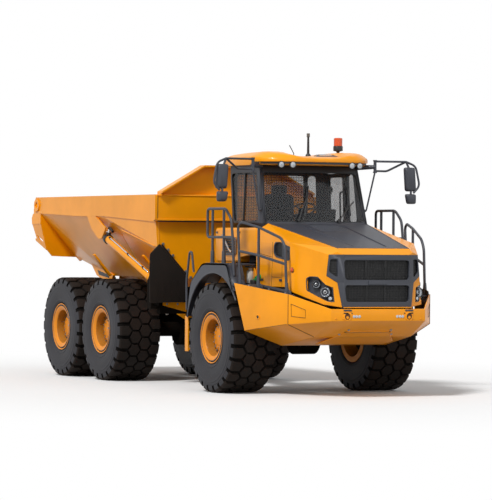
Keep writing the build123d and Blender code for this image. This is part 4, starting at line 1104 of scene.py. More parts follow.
hoodLook = {
    "frontTop": (2306, 2033), "frontFoot": (2350, 1289), "proud": 8, "depth": 48,
    "meshPitch": 24, "meshWire": 5,
    # low, high and half width of each opening, then low and high of its frame
    "openings": ((1677, 1957, 528, 1639, 2033), (1366, 1601, 520, 1293, 1639)),
    "nets": ((1660, 1972, 536), (1352, 1614, 530)),
    "sideFrame": [(532, 2033), (712, 2033), (747, 1731), (608, 1634), (532, 1634)],
    "sideOpening": [(606, 1968), (700, 1968), (716, 1789), (612, 1708), (606, 1760)],
    "sideFoot": [(526, 1640), (612, 1640), (556, 1293), (526, 1293)],
    "sideNet": [(596, 1975), (712, 1975), (724, 1782), (600, 1698)],
    "bar": [(-150, 1612), (150, 1612), (135, 1668), (-135, 1668)],
    # three points of the face that slopes to the front
    "slope": ((2208, 747, 1740), (2212, 718, 2033), (1650, 1020, 1600)),
}


def hoodFront(y, z, proud=0):
    # the grille's face: flat in the middle, turned back at its sides
    (topX, topZ), (footX, footZ) = hoodLook["frontTop"], hoodLook["frontFoot"]
    middle = topX + (topZ - z) * (footX - topX) / (topZ - footZ)
    side = (2361 - 0.461 * abs(y) - 0.0335 * z) / 0.887
    return (min(middle, side) + proud, y, z)


def hoodSide(x, z, proud=0):
    # the hood's right side, from its three faces
    flat = 1010 + (x - 450) / 150 - (z - 1600) * 8 / 550
    a, b, c = (Vector(p) for p in hoodLook["slope"])
    normal = (b - a).cross(c - a)
    slope = a.y - (normal.x * (x - a.x) + normal.z * (z - a.z)) / normal.y
    corner = (2361 - 0.887 * x - 0.0335 * z) / 0.461
    return (x, -min(flat, slope, corner) - proud, z)


def grilleForm():
    look = hoodLook
    made = form()
    proud, run = look["proud"], (-look["depth"], 0, 0)
    for low, high, half, frameLow, frameHigh in look["openings"]:
        outer = rect(-532, 532, frameLow, frameHigh)
        inner = [(-half + 18, low), (half - 18, low), (half - 4, high), (-half + 4, high)]
        made.frame(on(hoodFront, outer, proud), on(hoodFront, inner, proud), run, 46)
    for sign in (1, -1):
        outer, inner, foot = (
            [hoodFront(sign * y, z, proud) for y, z in look[key]]
            for key in ("sideFrame", "sideOpening", "sideFoot")
        )
        made.frame(outer, inner, run, 26)
        made.slab(foot, run)
        # eyes on the hinge pins
        for y in (450, 520):
            near, far = sign * (y + 0.5), sign * (y + 29.5)
            made.box(2311, 2343, *sorted((near, far)), 1280, 1320)
            made.rod((2325, near, 1278), (2325, far, 1278), 22)
    # bare name bar on the middle rail, with a soft swelling, and the painted lip below
    made.slab(on(hoodFront, look["bar"], proud), (9, 0, 0), 14)
    made.slab(atY(-548, rect(2336, 2358, 1281, 1293)), (0, 1096, 0), 3, 1)
    return made


def grilleMeshForm():
    # dark wire mesh behind the openings, over a dark sheet
    look = hoodLook
    made = form()
    pitch, wire = look["meshPitch"], look["meshWire"]
    run = (-wire, 0, 0)
    for low, high, half in look["nets"]:
        made.slab(atX(2262, rect(-half, half, low, high)), (-5, 0, 0), 0, 1)
        count = int(2 * half / pitch)
        for number in range(1, count):
            y = -half + number * 2 * half / count
            made.slab(on(hoodFront, rect(y, y + wire, low, high), -26), run)
        for number in range(1, int((high - low) / pitch)):
            z = low + number * pitch
            made.slab(atX(hoodFront(0, z)[0] - 24, rect(-half, half, z, z + wire)), run)
        # the cooler's two upright posts show through
        for y in (-150, 150):
            made.box(2268, 2284, y - 12, y + 12, low, high)
    for sign in (1, -1):
        made.slab([hoodFront(sign * y, z, -30) for y, z in look["sideNet"]], (-6, 0, 0), 0, 1)
        for number in range(1, 12):
            z = 1700 + number * pitch
            made.slab([hoodFront(sign * y, high, -20) for y, high in rect(600, 716, z, z + wire)], run)
    return made


headlampLook = {
    "outline": (
        (1880, 1691), (1936, 1722), (2070, 1717), (2257, 1567), (2274, 1360), (2231, 1366), (1906, 1519),
    ),
    "lamps": ((2044, 1609, 60), (2200, 1500, 74)), "small": (2240, 1410, 34), "recess": (-46, 42, 0),
    "facing": (0.9, -0.42, 0.03),
}


def headlampForm():
    # a dark housing set into the hood on each side, with its lamps
    look = headlampLook
    made = form()
    recess, facing = Vector(look["recess"]), look["facing"]
    rim = rounded(on(hoodSide, look["outline"], 3), 34, 5)
    middle = sum(rim, Vector()) / len(rim)
    inner = [p + (middle - p).normalized() * 13 for p in rim]
    bottom = [between(middle, p, 0.5) + recess for p in inner]
    centre = sum(bottom, Vector()) / len(rim)
    made.skin([moved(rim, (-10, 20, 0)), rim, inner, moved(inner, recess), bottom, [centre] * len(rim)])
    for x, z, radius in look["lamps"]:
        centre = Vector(hoodSide(x, z)) + Vector((-52, 36, 0))
        # casing, bright ring, dark ring, lens and its middle
        for profile, steps, paint in (
            ([(0, radius + 4), (44, radius + 4), (50, radius), (50, radius - 5), (40, radius - 7)], 36, 3),
            ([(44, radius - 6), (30, radius * 0.8), (22, radius * 0.7)], 36, 2),
            ([(22, radius * 0.7), (14, radius * 0.52), (16, radius * 0.44)], 36, 0),
            ([(16, radius * 0.44), (28, radius * 0.34), (32, radius * 0.2)], 28, 1),
            ([(32, radius * 0.2), (30, radius * 0.14), (30, 0)], 20, 3),
        ):
            made.turn(profile, centre, facing, steps, paint)
    x, z, radius = look["small"]
    centre = Vector(hoodSide(x, z)) + Vector((-36, 26, 0))
    made.turn([(0, radius), (38, radius), (42, radius - 5), (40, radius - 9)], centre, facing, 24, 3)
    made.turn([(40, radius - 9), (46, radius * 0.4), (48, 0)], centre, facing, 24, 2)
    return made.mirrored()


hoodVentLook = {
    "outline": (
        (1046, 2150), (1090, 2207), (1244, 2207), (1573, 2137),
        (1580, 1957), (1515, 1937), (1120, 1987), (1046, 2040),
    ),
    "cover": [(1300, 2172), (1545, 2118), (1552, 1976), (1500, 1962), (1300, 1990)],
    "rib": [(1340, 2130), (1510, 2088), (1512, 2060), (1340, 2098)],
    "slats": range(2010, 2180, 26), "slatEnds": (1085, 1300), "slatWidth": 6,
}


def hoodVentForm():
    look = hoodVentLook
    made = form()
    rim = on(hoodSide, look["outline"], 5)
    made.frame(rim, shrunk(rim, 22), (0, 34, 0), 24, 0, 24)
    made.slab(moved(shrunk(rim, 10), (0, 26, 0)), (0, 5, 0), 20, 1)
    made.slab(on(hoodSide, look["cover"], -8), (0, 10, 0), 18)
    made.slab(on(hoodSide, look["rib"], 2), (0, 12, 0), 8)
    for z in look["slats"]:
        made.slab(on(hoodSide, rect(*look["slatEnds"], z, z + look["slatWidth"]), -8), (0, 14, 0), 0, 1)
    return made.mirrored()


hoodTrimLook = {
    "seams": (
        [(1000, 2205), (1000, 1900), (985, 1565)], [(1000, 1985), (470, 2050)],
        [(1325, 1985), (1335, 1560)], [(1000, 1700), (1330, 1690)],
    ),
    "edge": [(470, -806, 2476), (2206, -571, 2126)], "marker": (1641, 1806), "latches": (620, 1250),
}


def hoodTrimForm():
    # seams, the top's edge strips, side markers and latches
    look = hoodTrimLook
    made = form()
    for route in look["seams"]:
        made.tube(on(hoodSide, route, -1), 4, 8, 0, 60)
    made.tube(look["edge"], 7, 8, 1)
    marker = (hoodSide(*look["marker"]), (0.05, -1, 0), 24)
    made.turn([(0, 0), (0, 34), (14, 32), (24, 22), (30, 0)], *marker, 2)
    made.turn([(0, 0), (0, 40), (5, 40), (6, 34)], *marker, 1)
    for x in look["latches"]:
        made.slab(on(hoodSide, rect(x, x + 90, 1640, 1674)), (0, -9, 0), 12, 1)
    return made.mirrored()


def overHood(x, y, rise):
    return (x, y, 2128 + (2206 - x) * 358 / 1768 + rise)


def hoodTopForm():
    # raised ridges and intake ribs on the dark top panel
    made = form()
    for y in (-330, 330):
        ridge = ((700, y, 26, -6), (2120, y * 0.8, 18, -6)), ((730, y, 10, 14), (2080, y * 0.8, 7, 12))
        rings = []
        for (rear, rearY, rearHalf, rearRise), (front, frontY, frontHalf, frontRise) in ridge:
            rings.append([
                overHood(rear, rearY - rearHalf, rearRise), overHood(rear, rearY + rearHalf, rearRise),
                overHood(front, frontY + frontHalf, frontRise),
                overHood(front, frontY - frontHalf, frontRise),
            ])
        made.loft(rings)
    for x in range(620, 1010, 60):
        foot, crest = rect(x, x + 26, -230, 230), rect(x + 5, x + 22, -224, 224)
        made.loft([on(overHood, foot, -5), on(overHood, crest, 9)])
    return made


grilleForm().dress(
    "grilleFrameRounded", ["dark", "yellow"], "hood", "dark_paint", "grille_frame",
    bevel=7, segments=3, smooth=45,
)
grilleMeshForm().dress("grilleWireMesh", ["black", "mesh"], "hood", "mesh_black", "grille_mesh")
headlampForm().dress("headlampClusters", ["dark", "zinc", "bulb", "black"], "hood", "lamp_lens", "headlamps")
hoodVentForm().dress("hoodVentPanels", ["dark", "black"], "hood", "dark_paint", "hood_vents", bevel=2)
hoodTrimForm().dress("hoodSeamsAndMarkers", ["seam", "dark", "amber"], "hood", "dark_paint", smooth=40)
hoodTopForm().dress("hoodTopRibs", ["dark"], "hood", "dark_paint", bevel=3)


# Bumper, fenders, decks and rails

bumperLook = {
    "face": 2377, "recess": (495, 1159), "lights": (391, 349, 303), "plug": (1202, -1332, 1128),
    "wingFacing": (0.291, -0.957, 0),
    "edgeBolts": ((1400, -1256, 1526), (1000, -1378, 1574), (1720, -1152, 1476)),
    # seams of the corner and wing plates, each with its radius
    "seams": (
        ([(1802, -1147, 1462), (1802, -1147, 1036), (1900, -783, 860)], 5),
        ([(1845, -1121, 1328), (2040, -990, 1246), (2040, -990, 1134), (1850, -1117, 1152),
          (1845, -1121, 1328)], 3),
        ([(960, -1404, 930), (1780, -1154, 1038)], 3),
    ),
    "skid": [(2075, 0, 934), (2075, -330, 934), (1760, -560, 784), (1500, -560, 741), (1500, 0, 741)],
}


def bumperTrimForm():
    look = bumperLook
    made = form()
    face, forward, wingFacing = look["face"], (1, 0, 0), look["wingFacing"]
    y, z = look["recess"]
    # tow eye in its recess, with its lid, pin and lamps
    made.turn([(-2, 66), (8, 64), (12, 56), (12, 46), (-2, 44)], (face, -y, z), forward, 32)
    # the disc inside the eye is painted brown as painted shade
    made.turn([(2, 46), (2, 0)], (face, -y, z), forward, 32, 4)
    made.slab(atX(face, rect(-y - 60, -y + 14, z + 38, z + 54)), (12, 0, 0), 7, 1)
    made.rod((face, -y, z - 14), (face + 11, -y, z - 14), 20)
    made.rod((face, -y + 74, z + 46), (face + 4, -y + 74, z + 46), 9, 12, 1)
    for across in look["lights"]:
        made.turn([(-2, 21), (5, 21), (7, 17), (10, 9), (10, 0)], (face, -across, z), forward, 20, 2)
    for route, radius in look["seams"]:
        made.tube(route, radius, 8, 4)
    made.turn([(-3, 40), (5, 38), (7, 32), (7, 24), (-3, 22)], look["plug"], wingFacing, 28)
    made.turn([(0, 24), (0, 0)], look["plug"], wingFacing, 20, 1)
    for place in look["edgeBolts"]:
        made.bolt(place, (0, 0, 1), 11, 3)
    # belly slot, bolts on the face, hinge cover on the top edge, skid plate with its bolts
    made.box(2030, 2062, -370, 0, 926, 934, 1)
    for y in (-680, -560):
        made.bolt((face, y, 1128), forward, 10)
    made.slab(atX(face, rect(-556, -430, 1236, 1259)), (9, 0, 0), 6, 5)
    made.slab(look["skid"], (0, 0, 12), 24)
    for place in ((2120, -340, 962), (1980, -420, 900)):
        made.bolt(place, (0.55, 0, -0.83), 13, 3)
    return made.mirrored()


fenderLook = {
    "split": -1250, "top": 1885, "inner": 1030, "outer": 1490, "wall": 24,
    # radius, first and last angle in degrees, and steps
    "arch": (955, 163, 36, 30), "wallRing": (862, 168, 30, 24),
}


def wheelArch(radius, start, end, steps):
    angles = [math.radians(start - step * (start - end) / steps) for step in range(steps + 1)]
    return [(math.cos(angle) * radius, axleHeight + math.sin(angle) * radius) for angle in angles]


def fenderForm():
    look = fenderLook
    made = form()
    top, wall, split, inner, outer = (look[key] for key in ("top", "wall", "split", "inner", "outer"))

    def guardLine(inset, radius):
        corners = [
            (-944 + inset, 1089), (-808 + inset, top - 301 + inset / 2), (-385 + inset / 2, top - inset),
            (480 - inset, top - inset), (672 - inset, top - 394),
        ]
        return [(p.x, p.z) for p in eased([Vector((x, 0, z)) for x, z in corners], radius, 5)]

    outerLine, innerLine = guardLine(0, 90), guardLine(wall, 80)
    made.slab(atY(split, outerLine + innerLine[::-1]), (0, -outer - split, 0))
    # the inner part of the guard ends at the top
    guard = [(-808, 1584), (-385, top), (470, top), (470, top - wall), (-375, top - wall), (-788, 1584)]
    made.slab(atY(-inner, guard), (0, inner + split, 0))
    # side lip with a round arch over the tyre and a bead along it
    arch = wheelArch(*look["arch"])
    made.slab(atY(-outer, outerLine + arch[::-1]), (0, wall, 0))
    made.tube(atY(-outer + 8, arch), 12, 10)
    # shelf to the cab, with tread bars
    made.slab(atZ(1860, [(-380, -700), (-110, -700), (-110, -1032), (-380, -1032)]), (0, 0, 25))
    for number in range(7):
        y = -1090 - number * 58
        made.slab(atZ(1884, [(-340, y), (440, y), (440, y - 18), (-340, y - 18)]), (0, 0, 6), 6, 0, 3)
    # painted inner wall that shows above the tyre
    made.slab(atY(-inner - 2, innerLine + wheelArch(*look["wallRing"])[::-1]), (0, -10, 0), 0, 1)
    return made.mirrored()


railLook = {"tube": 20, "upperY": 1405, "lowerY": 1376, "deck": 1885, "bend": 70}


def deckTop(x):
    return 1594 - (x - 600) * 0.121


def railForm():
    look = railLook
    made = form()
    tube, upper, lower, deck, bend = (look[key] for key in ("tube", "upperY", "lowerY", "deck", "bend"))
    low, high = deck + 385, deck + 803

    def run(points):
        made.tube([(x, -y, z) for x, y, z in points], tube, 14, 0, bend)

    # upper rail on the fender's deck
    run([
        (-201, upper, low), (-378, upper, low), (-378, upper, high), (242, upper, high),
        (440, upper, deck + 650), (495, upper, deck + 345), (553, upper, deck - 165),
    ])
    for x in (-201, 189):
        run([(x, upper, deck), (x, upper, high)])
        made.turn([(0, 36), (6, 34), (60, 30), (170, 28), (190, 21)], (x, -upper, deck), steps=18)
        made.rod((x, -upper, deck), (x, -upper, deck + 8), 52)
    run([(-201, upper, low), (489, upper, low)])
    made.turn([(0, 26), (150, 26), (170, 21)], (540, -upper, deck - 140), (-0.13, 0, 1), 16)
    made.rod((553, -upper, deck - 175), (553, -upper, deck - 150), 30, 16)
    # lower rail along the hood, on three feet
    rearFoot, middleFoot, frontFoot = (697, lower), (1064, 1261), (1700, 1119)
    run([
        (*rearFoot, deckTop(rearFoot[0])), (608, lower, deck + 540), (690, 1362, deck + 604),
        (*middleFoot, deck + 530), (1560, 1134, deck + 372), (1650, 1125, deck + 240),
        (*frontFoot, deckTop(frontFoot[0])),
    ])
    run([(645, lower, deck + 186), (*middleFoot, deck + 127), (1670, 1122, deck + 4)])
    run([(*middleFoot, deckTop(middleFoot[0])), (*middleFoot, deck + 530)])
    for x, y in (rearFoot, middleFoot, frontFoot):
        foot = deckTop(x)
        made.turn([(0, 34), (60, 30), (150, 24), (165, 21)], (x, -y, foot), (-0.02, 0, 1), 16)
        plate = [(-40, 0), (130, -16), (112, 46), (20, 78), (-40, 70)]
        made.slab([(x + ahead, -y, foot + rise) for ahead, rise in plate], (0, 14, 0), 14)
    # kick plate between the front feet, with a slot line
    (nearX, nearY), (farX, farY) = middleFoot, frontFoot
    near, far = deckTop(nearX), deckTop(farX)
    for inset, nearOut, farOut, low, high, depth, radius, paint in (
        (0, 0, 0, 2, 62, 12, 10, 0), (60, 1, 14, 22, 40, 10, 6, 1),
    ):
        start, end = (nearX + inset, -nearY - nearOut), (farX - inset, -farY - farOut)
        plate = [(*start, near + low), (*end, far + low), (*end, far + high), (*start, near + high)]
        made.slab(plate, (0, depth, 0), radius, paint)
    # grab loop behind the fender
    loop = [(-719, 1749), (-790, 2046), (-870, 2046), (-975, 1620), (-960, 1180)]
    made.tube(atY(-1470, loop), 17, 12, 0, 60)
    return made.mirrored()


def softened(node, radius, frontBack, frontLimit):
    # a copy of a CAD node's mesh with rounded edges, and all that lies past a limit moved back
    work = bmesh.new()
    work.from_mesh(nodes[node].data)
    bmesh.ops.remove_doubles(work, verts=work.verts, dist=0.00002)
    bmesh.ops.dissolve_limit(work, angle_limit=math.radians(1), verts=work.verts, edges=work.edges)
    for vert in work.verts:
        if vert.co.x > (frontLimit + axleAhead) / 1000:
            vert.co.x -= frontBack / 1000
    bevelEdges(work, radius, 3, 0.5, 12, 150)
    return shaded(nodes[node].data.copy(), work, 30)


piece("bumperRounded", softened("bumper", 9, 12, 2340), inFront, "yellow_paint", "bumper")
bumperFinishes = ["yellow", "black", "lens", "zinc", "seam", "dark"]
bumperTrimForm().dress("bumperTrim", bumperFinishes, inFront, "yellow_paint")
fenderForm().dress("fendersRounded", ["dark", "yellow"], inFront, "dark_paint", "fenders", bevel=4, smooth=40)
railForm().dress("deckRailsBent", ["dark", "black"], inFront, "dark_paint", "deck_rails", smooth=40)
print("hood, bumper, fenders and rails made")


# Load body

binLook = {
    "lamps": ((-5906, -1272, 2552), (-5629, -1277, 2547), (-5814, -1227, 2477)), "band": (2520, 2925),
    "bandFace": -2350,
    "slopeLip": [(-1312, 2940), (-1312, 2972), (-589, 3384), (0, 3384), (0, 3354), (-597, 3354)],
    "gusset": [(-6470, 1850), (-6197, 1635), (-6010, 1580), (-5560, 1570), (-5500, 1640), (-5900, 1830)],
    "gussetOpeningPaintedShade": [(-6160, 1720), (-6090, 1640), (-5640, 1590), (-5700, 1650)],
    "tailGusset": [(-7230, 1960), (-7000, 1860), (-6900, 1900), (-6940, 1960)],
    "floorRibs": (-3300, -3900, -5300), "flapX": -2440,
    "flap": ((-1270, 2168), (-1430, 2009), (-1441, 1652), (-1428, 1251), (-841, 1266), (-802, 1653)),
    "flapBolts": ((-1208, 2161), (-1121, 2070), (-1039, 1984), (-820, 1738), (-734, 1645)),
}


def binTrimForm():
    look = binLook
    made = form()
    low, high = look["band"]
    face = look["bandFace"]
    # end strip of the front band, with the gaps beside it
    made.slab(atY(-1348, rect(face - 92, face + 6, low + 8, high - 4)), (0, -42, 0), 16)
    made.slab(atY(-1346, rect(face - 100, face - 92, low, high)), (0, -20, 0), 0, 1)
    made.slab(atX(face - 4, rect(-1346, -1338, low, high - 10)), (7, 0, 0), 0, 1)
    # folded lips above and below the band, and a black strip under the band as its painted shadow
    lip = [(face, low), (face + 16, low + 4), (face + 16, low + 26), (face, low + 30)]
    made.slab(atY(0, lip), (0, -1346, 0))
    made.slab(atY(0, rect(face, face + 4, low - 18, low)), (0, -1346, 0), 0, 1)
    made.tube([(face, 0, high - 14), (face, -1340, high - 14)], 13, 10)
    # lip along the headboard's slope and top, weld strip along the side's fold, front corner post
    made.slab(atX(-2300, look["slopeLip"]), (46, 0, 0))
    made.tube([(-3836, -1312, 2379), (-2526, -1308, 2126)], 9, 8)
    made.tube([(-2448, -1290, 2520), (-2448, -1282, 2126)], 12, 8)
    for place in look["lamps"]:
        made.turn([(-14, 26), (10, 26), (10, 15), (6, 15)], place, (0, -0.9, -0.4), 20)
        made.turn([(9, 16), (9, 0)], place, (0, -0.9, -0.4), 16, 1)
    # gussets under the side, with a black plate as painted shade where the front one has its opening
    made.slab(atY(-742, look["gusset"]), (0, 40, 0))
    made.slab(atY(-744, look["gussetOpeningPaintedShade"]), (0, 8, 0), 16, 1)
    made.slab(atY(-720, look["tailGusset"]), (0, 30, 0))
    for x in look["floorRibs"]:
        rib = [(x, -880, 1642), (x + 90, -880, 1642), (x + 90, -1180, 1990), (x, -1180, 1990)]
        made.slab(rib, (0, -26, -18), 12)
    for y, z in look["flapBolts"]:
        made.bolt((look["flapX"] - 2, y, z), (1, 0, 0), 15, 3)
    return made.mirrored()


def flapForm():
    # rubber sheets with a clamping bar and low ribs
    made = form()
    outline = atX(binLook["flapX"], binLook["flap"])
    made.slab(outline, (14, 0, 0), 24)
    apex, low = Vector(outline[0]), Vector(outline[5])
    down = (low - apex).normalized()
    across = Vector((0, -down.z, down.y)) * 26
    top, foot = apex + down * 30, low - down * 20
    made.slab(moved([top, foot, foot + across, top + across], (13, 0, 0)), (4, 0, 0), 8)
    for share in (0.2, 0.4, 0.6, 0.8):
        y = -1428 + share * 587
        made.slab(atX(binLook["flapX"] + 13, rect(y, y + 9, 1285, 1600)), (5, 0, 0), 3)
    return made.mirrored()


binFinishes = ["yellow", "black", "black", "zinc"]
binTrimForm().dress("loadBodyTrim", binFinishes, "dump_body", "yellow_paint")
flapForm().dress("mudFlapsHung", ["flap", "black"], "dump_body", "flap_rubber", "mud_flaps", bevel=2)


# Tip cylinders

ramLook = {
    "pin": (-2620, -1275, 1595), "rodPin": (-4672, -1275, 2308), "radius": 63, "bore": 50, "short": 198,
    "finishes": ["yellow", "black", "black", "chrome"],
}


def ramForm():
    look = ramLook
    made = form()
    start = Vector(look["pin"])
    way = Vector(look["rodPin"]) - start
    length = way.length - look["short"]
    way.normalize()
    lift = Vector((way.z, 0, -way.x))
    radius, bore = look["radius"], look["bore"]
    # eye, barrel, gland and foot ring
    made.turn([(-44, 38), (44, 38), (44, 76), (38, 82), (-38, 82), (-44, 76)], start, (0, 1, 0), 36, 0, True)
    barrel = [(62, 0), (62, 46), (96, radius), (length, radius), (length, bore), (120, bore), (120, 0)]
    gland = [
        (length - 64, radius), (length - 60, radius + 17), (length + 6, radius + 17),
        (length + 10, radius + 12), (length + 10, bore - 2), (length - 4, bore - 2),
    ]
    footRing = [(150, radius), (152, radius + 7), (186, radius + 7), (188, radius)]
    for profile, paint in ((barrel, 0), (gland, 1), (footRing, 0)):
        made.turn(profile, start, way, 40, paint)
    # hose union on the head with its hose, then the pipe and its clamps on the upper side
    head = start + way * (length - 20) + lift * (radius + 8)
    made.turn([(0, 0), (0, 38), (34, 38), (40, 30), (40, 0)], head, lift, 20, 1)
    made.turn([(40, 0), (40, 26), (84, 26), (90, 20), (90, 0)], head, lift, 20, 3)
    hose = [(70, 0), (112, 0), (120, 60), (100, 150)]
    made.tube([head + lift * rise - way * back for rise, back in hose], 22, 12, 1, 40)
    out = (lift + Vector((0, -0.55, 0))).normalized()
    near, far = (start + way * along + out * (radius + 26) for along in (190, length - 150))
    made.tube([near - out * 30, near, far, far + way * 40 - out * 40], 12, 12, 3, 30)
    for share in (0.12, 0.5, 0.97):
        middle = between(near, far, share)
        clamp = []
        for along, rise, half in ((20, -30, 18), (18, 16, 15)):
            corners = ((-along, -half), (-along, half), (along, half), (along, -half))
            clamp.append([middle + way * a + out * rise + Vector((0, side, 0)) for a, side in corners])
        made.loft(clamp, 1)
    return made


rightRam = ramForm()
for side, ram in (("right", rightRam), ("left", rightRam.flipped())):
    barrel = f"tip_barrel_{side}"
    ram.dress(f"tipBarrelTurned_{side}", ramLook["finishes"], barrel, "yellow_paint", barrel)


# Chassis and small parts on it

def rearFrameTrimForm():
    made = form()
    side = [(-3700, 1212), (-3069, 1224), (-2715, 1086), (-2715, 985), (-3160, 1095), (-3700, 1105)]
    made.slab(atY(-702, side), (0, 44, 0))
    for x in (-3600, -3350, -3100):
        made.bolt((x, -702, 1160), (0, -1, 0), 14, 2)
    # painted plate on the outrigger's front
    plate = [(-1150, 1258), (-500, 1258), (-500, 1092), (-690, 1092), (-1150, 1210)]
    made.slab(atX(-2571, plate), (10, 0, 0), 12)
    for y in (-1080, -900, -720):
        made.bolt((-2561, y, 1232), (1, 0, 0), 12, 2)
    # filler neck and two pipes
    neck = [(0, 0), (0, 24), (60, 24), (66, 16), (90, 14), (90, 0)]
    made.turn(neck, (-3540, -640, 1040), (0, -0.3, 1), 16, 3)
    line = [(-3540, -640, 1120), (-3400, -660, 1180), (-3000, -660, 1110), (-2720, -600, 1060)]
    made.tube(line, 14, 10, 1, 60)
    made.tube([(-3800, -520, 1300), (-4600, -500, 1320), (-5500, -480, 1300)], 16, 10, 1, 40)
    return made.mirrored()


def frontPartsForm():
    # green-capped reservoir, pale filter can, their shelf, and pipes behind the cab
    made = form()
    cap = [(0, 0), (0, 34), (60, 34), (66, 44), (74, 50), (150, 50), (158, 44), (170, 30), (170, 0)]
    tank = [(0, 0), (0, 52), (110, 52), (120, 40), (120, 0)]
    can = [(0, 0), (0, 48), (12, 56), (170, 56), (185, 48), (190, 30), (220, 30), (220, 0)]
    made.turn(cap, (500, -1080, 1620), (0.55, 0.45, 0.4), 28, 1)
    made.turn(tank, (520, -1075, 1530), steps=28)
    made.turn(can, (380, -1060, 1600), steps=28, paint=2)
    made.slab(atZ(1830, [(300, -1010), (470, -1010), (470, -1120), (300, -1120)]), (0, 0, 22), 20)
    made.box(330, 350, -1040, -1030, 1600, 1840)
    for y in (-880, -1000):
        made.tube([(-90, y, 1700), (60, y, 1690), (230, y, 1600)], 16, 10, 0, 50)
    return made


lockerLook = {
    "outline": [(-992, 1900), (-100, 1900), (-100, 2010), (447, 2010), (447, 2414), (-992, 2414)],
    "rings": ((-846, 0), (-965, 0), (-985, 8), (-1000, 30)), "intake": (-671, -218, 2005, 2274), "slats": 6,
    "catches": (-940, -160),
}


def lockerForm():
    # right-hand locker with rounded edges, its framed air intake and a hose over it
    look = lockerLook
    made = form()
    made.loft([rounded(shrunk(atY(y, look["outline"]), inset), 40) for y, inset in look["rings"]])
    opening = atY(-1004, rect(*look["intake"]))
    made.frame(opening, shrunk(opening, 34), (0, -14, 0), 46, 1, 46)
    made.slab(shrunk(opening, 30), (0, -3, 0), 46, 2)
    for number in range(1, look["slats"]):
        z = 2030 + number * 38
        made.slab(atY(-1008, rect(-630, -258, z, z + 8)), (0, -6, 0), 0, 2)
    handle = [(-716, -1016, 2300), (-640, -1030, 2290), (-425, -1030, 2081), (-380, -1016, 2050)]
    made.tube(handle, 15, 12, 3, 40)
    for x in look["catches"]:
        made.slab(atY(-1000, rect(x, x + 60, 2330, 2360)), (0, -9, 0), 10, 1)
    return made


frameFinishes = ["yellow", "black", "zinc", "paleFilter"]
rearFrameTrimForm().dress("rearFramePlates", frameFinishes, "rear_frame", "yellow_paint", smooth=40)
frontPartsForm().dress("frontSmallParts", ["black", "green", "paleFilter"], inFront, "dark_paint", smooth=40)
lockerFinishes = ["yellow", "dark", "mesh", "zinc"]
lockerForm().dress("rightLocker", lockerFinishes, inFront, "yellow_paint", "cab_pod", bevel=3, smooth=40)


# Seat, dashboard, wipers and rear guard

seatLook = {
    # middle, size and corner radius of each cushion
    "cushions": (
        ((-700, -80, 2690), (120, 470, 480), 90), ((-690, -80, 2990), (90, 250, 150), 60),
        ((-500, -80, 2440), (480, 480, 110), 40), ((-520, -330, 2610), (300, 60, 50), 20),
        ((-520, 170, 2610), (300, 60, 50), 20),
    ),
    # share of the depth, and how far the outline shrinks there
    "softness": ((-0.5, 26), (-0.42, 8), (-0.25, 0), (0.25, 0), (0.42, 8), (0.5, 26)),
    "pedestal": [
        (0, 0), (0, 210), (20, 210), (30, 190), (120, 130), (400, 120), (440, 180), (452, 180), (452, 0),
    ],
}


def seatForm():
    made = form()
    for (x, y, z), (deep, wide, high), radius in seatLook["cushions"]:
        pairs = rect(y - wide / 2, y + wide / 2, z - high / 2, z + high / 2)
        rings = []
        for share, inset in seatLook["softness"]:
            rings.append(rounded(shrunk(atX(x + share * deep, pairs), inset), radius, 5))
        made.loft(rings)
    for y in (-330, 170):
        made.rod((-640, y, 2460), (-640, y, 2600), 16)
    for y in (-150, -10):
        made.rod((-690, y, 2900), (-690, y, 2950), 9, 12, 1)
    made.turn(seatLook["pedestal"], (-520, -80, 1945), steps=28)
    return made


dashboardLook = {
    # x, low, high and half width
    "rings": (
        (355, 2300, 2470, 690), (330, 2290, 2505, 700), (180, 2290, 2520, 700), (90, 2320, 2500, 690),
        (50, 2350, 2450, 660),
    ),
    "hub": (-80, 0, 2680), "facing": (-0.5, 0, 0.87), "wheelRadius": 206, "wheelTube": 15,
    "spokes": (0.5, 2.6, 4.7),
}


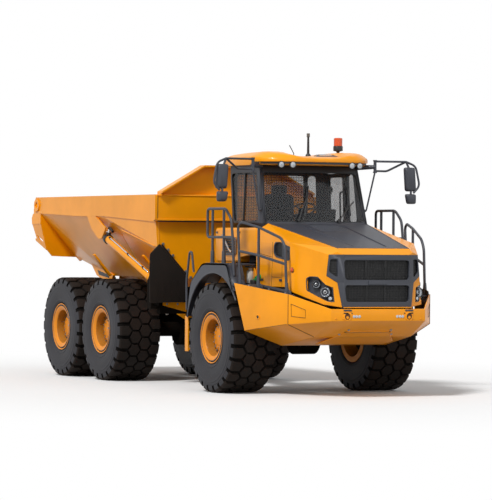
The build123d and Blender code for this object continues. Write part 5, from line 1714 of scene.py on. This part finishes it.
def dashboardForm():
    look = dashboardLook
    made = form()
    made.loft([rounded(atX(x, rect(-half, half, low, high)), 40) for x, low, high, half in look["rings"]])
    made.slab([(70, -180, 2490), (130, -180, 2640), (130, 180, 2640), (70, 180, 2490)], (26, 0, -6), 26)
    made.slab([(62, -150, 2500), (118, -150, 2626), (118, 150, 2626), (62, 150, 2500)], (6, 0, -2), 12, 1)
    made.slab([(60, 260, 2520), (70, 260, 2700), (70, 480, 2700), (60, 480, 2520)], (24, 0, 0), 16, 1)
    # steering wheel on its column
    axis, hub, tube = Vector(look["facing"]).normalized(), Vector(look["hub"]), look["wheelTube"]
    made.rod((60, 0, 2460), hub, 34)
    ring = [(cosine * tube, look["wheelRadius"] + sine * tube) for cosine, sine in circle(12)]
    made.turn(ring, hub, axis, 40, 1, True)
    made.turn([(-20, 0), (-20, 50), (8, 60), (16, 50), (16, 0)], hub, axis, 24, 1)
    side = axis.orthogonal().normalized()
    for turnBy in look["spokes"]:
        out = side * math.cos(turnBy) + axis.cross(side) * math.sin(turnBy)
        made.rod(hub + out * 30, hub + out * 204, 13, 10, 1)
    return made


wiperLook = {
    # foot, joint, and the blade's two ends
    "wipers": (
        ((396, 361, 2520), (300, 658, 2815), (372, 578, 2599), (232, 586, 3042)),
        ((396, -300, 2520), (290, -120, 2860), (372, -180, 2590), (232, -60, 3040)),
    ),
    "guardUprights": 28, "uprightPitch": 42.2, "guardBars": 20, "barPitch": 43.6, "guardWire": 4,
}


def cabSmallPartsForm():
    look = wiperLook
    made = form()
    for foot, joint, low, high in look["wipers"]:
        middle = between(low, high, 0.5)
        start = Vector(foot) + Vector((24, 0, 6))
        made.rod(foot, Vector(foot) + Vector((30, 0, 10)), 22, 16, 1)
        made.tube([start, Vector(joint) + Vector((26, 0, 0))], 9, 10, 1)
        made.tube(moved([low, high], (18, 0, 0)), 10, 8, 1)
        made.tube([start + Vector((0, 70, -6)), middle + Vector((26, 0, 0))], 6, 8, 1)
    # wire guard on the rear window
    for number in range(look["guardUprights"]):
        y = -570 + number * look["uprightPitch"]
        made.tube([(-1164, y, 2400), (-1164, y, 3236)], look["guardWire"], 6)
    for number in range(look["guardBars"]):
        z = 2404 + number * look["barPitch"]
        made.tube([(-1170, -570, z), (-1170, 570, z)], look["guardWire"], 6)
    border = rect(-574, 574, 2396, 3240)
    made.tube(atX(-1166, border + border[:1]), 12, 10, 0, 40)
    return made


seatForm().dress("seatWithHeadrest", ["seatCloth", "zinc"], inFront, "cab_plastic", "seat", smooth=50)
dashboardFinishes = ["cabPlastic", "black"]
dashboardForm().dress("dashboardAndWheel", dashboardFinishes, inFront, "cab_plastic", "dashboard", smooth=40)
cabSmallPartsForm().dress("wipersAndGuard", ["dark", "black"], inFront, "dark_paint", smooth=50)
print("load body, cylinders, small parts and interior made")
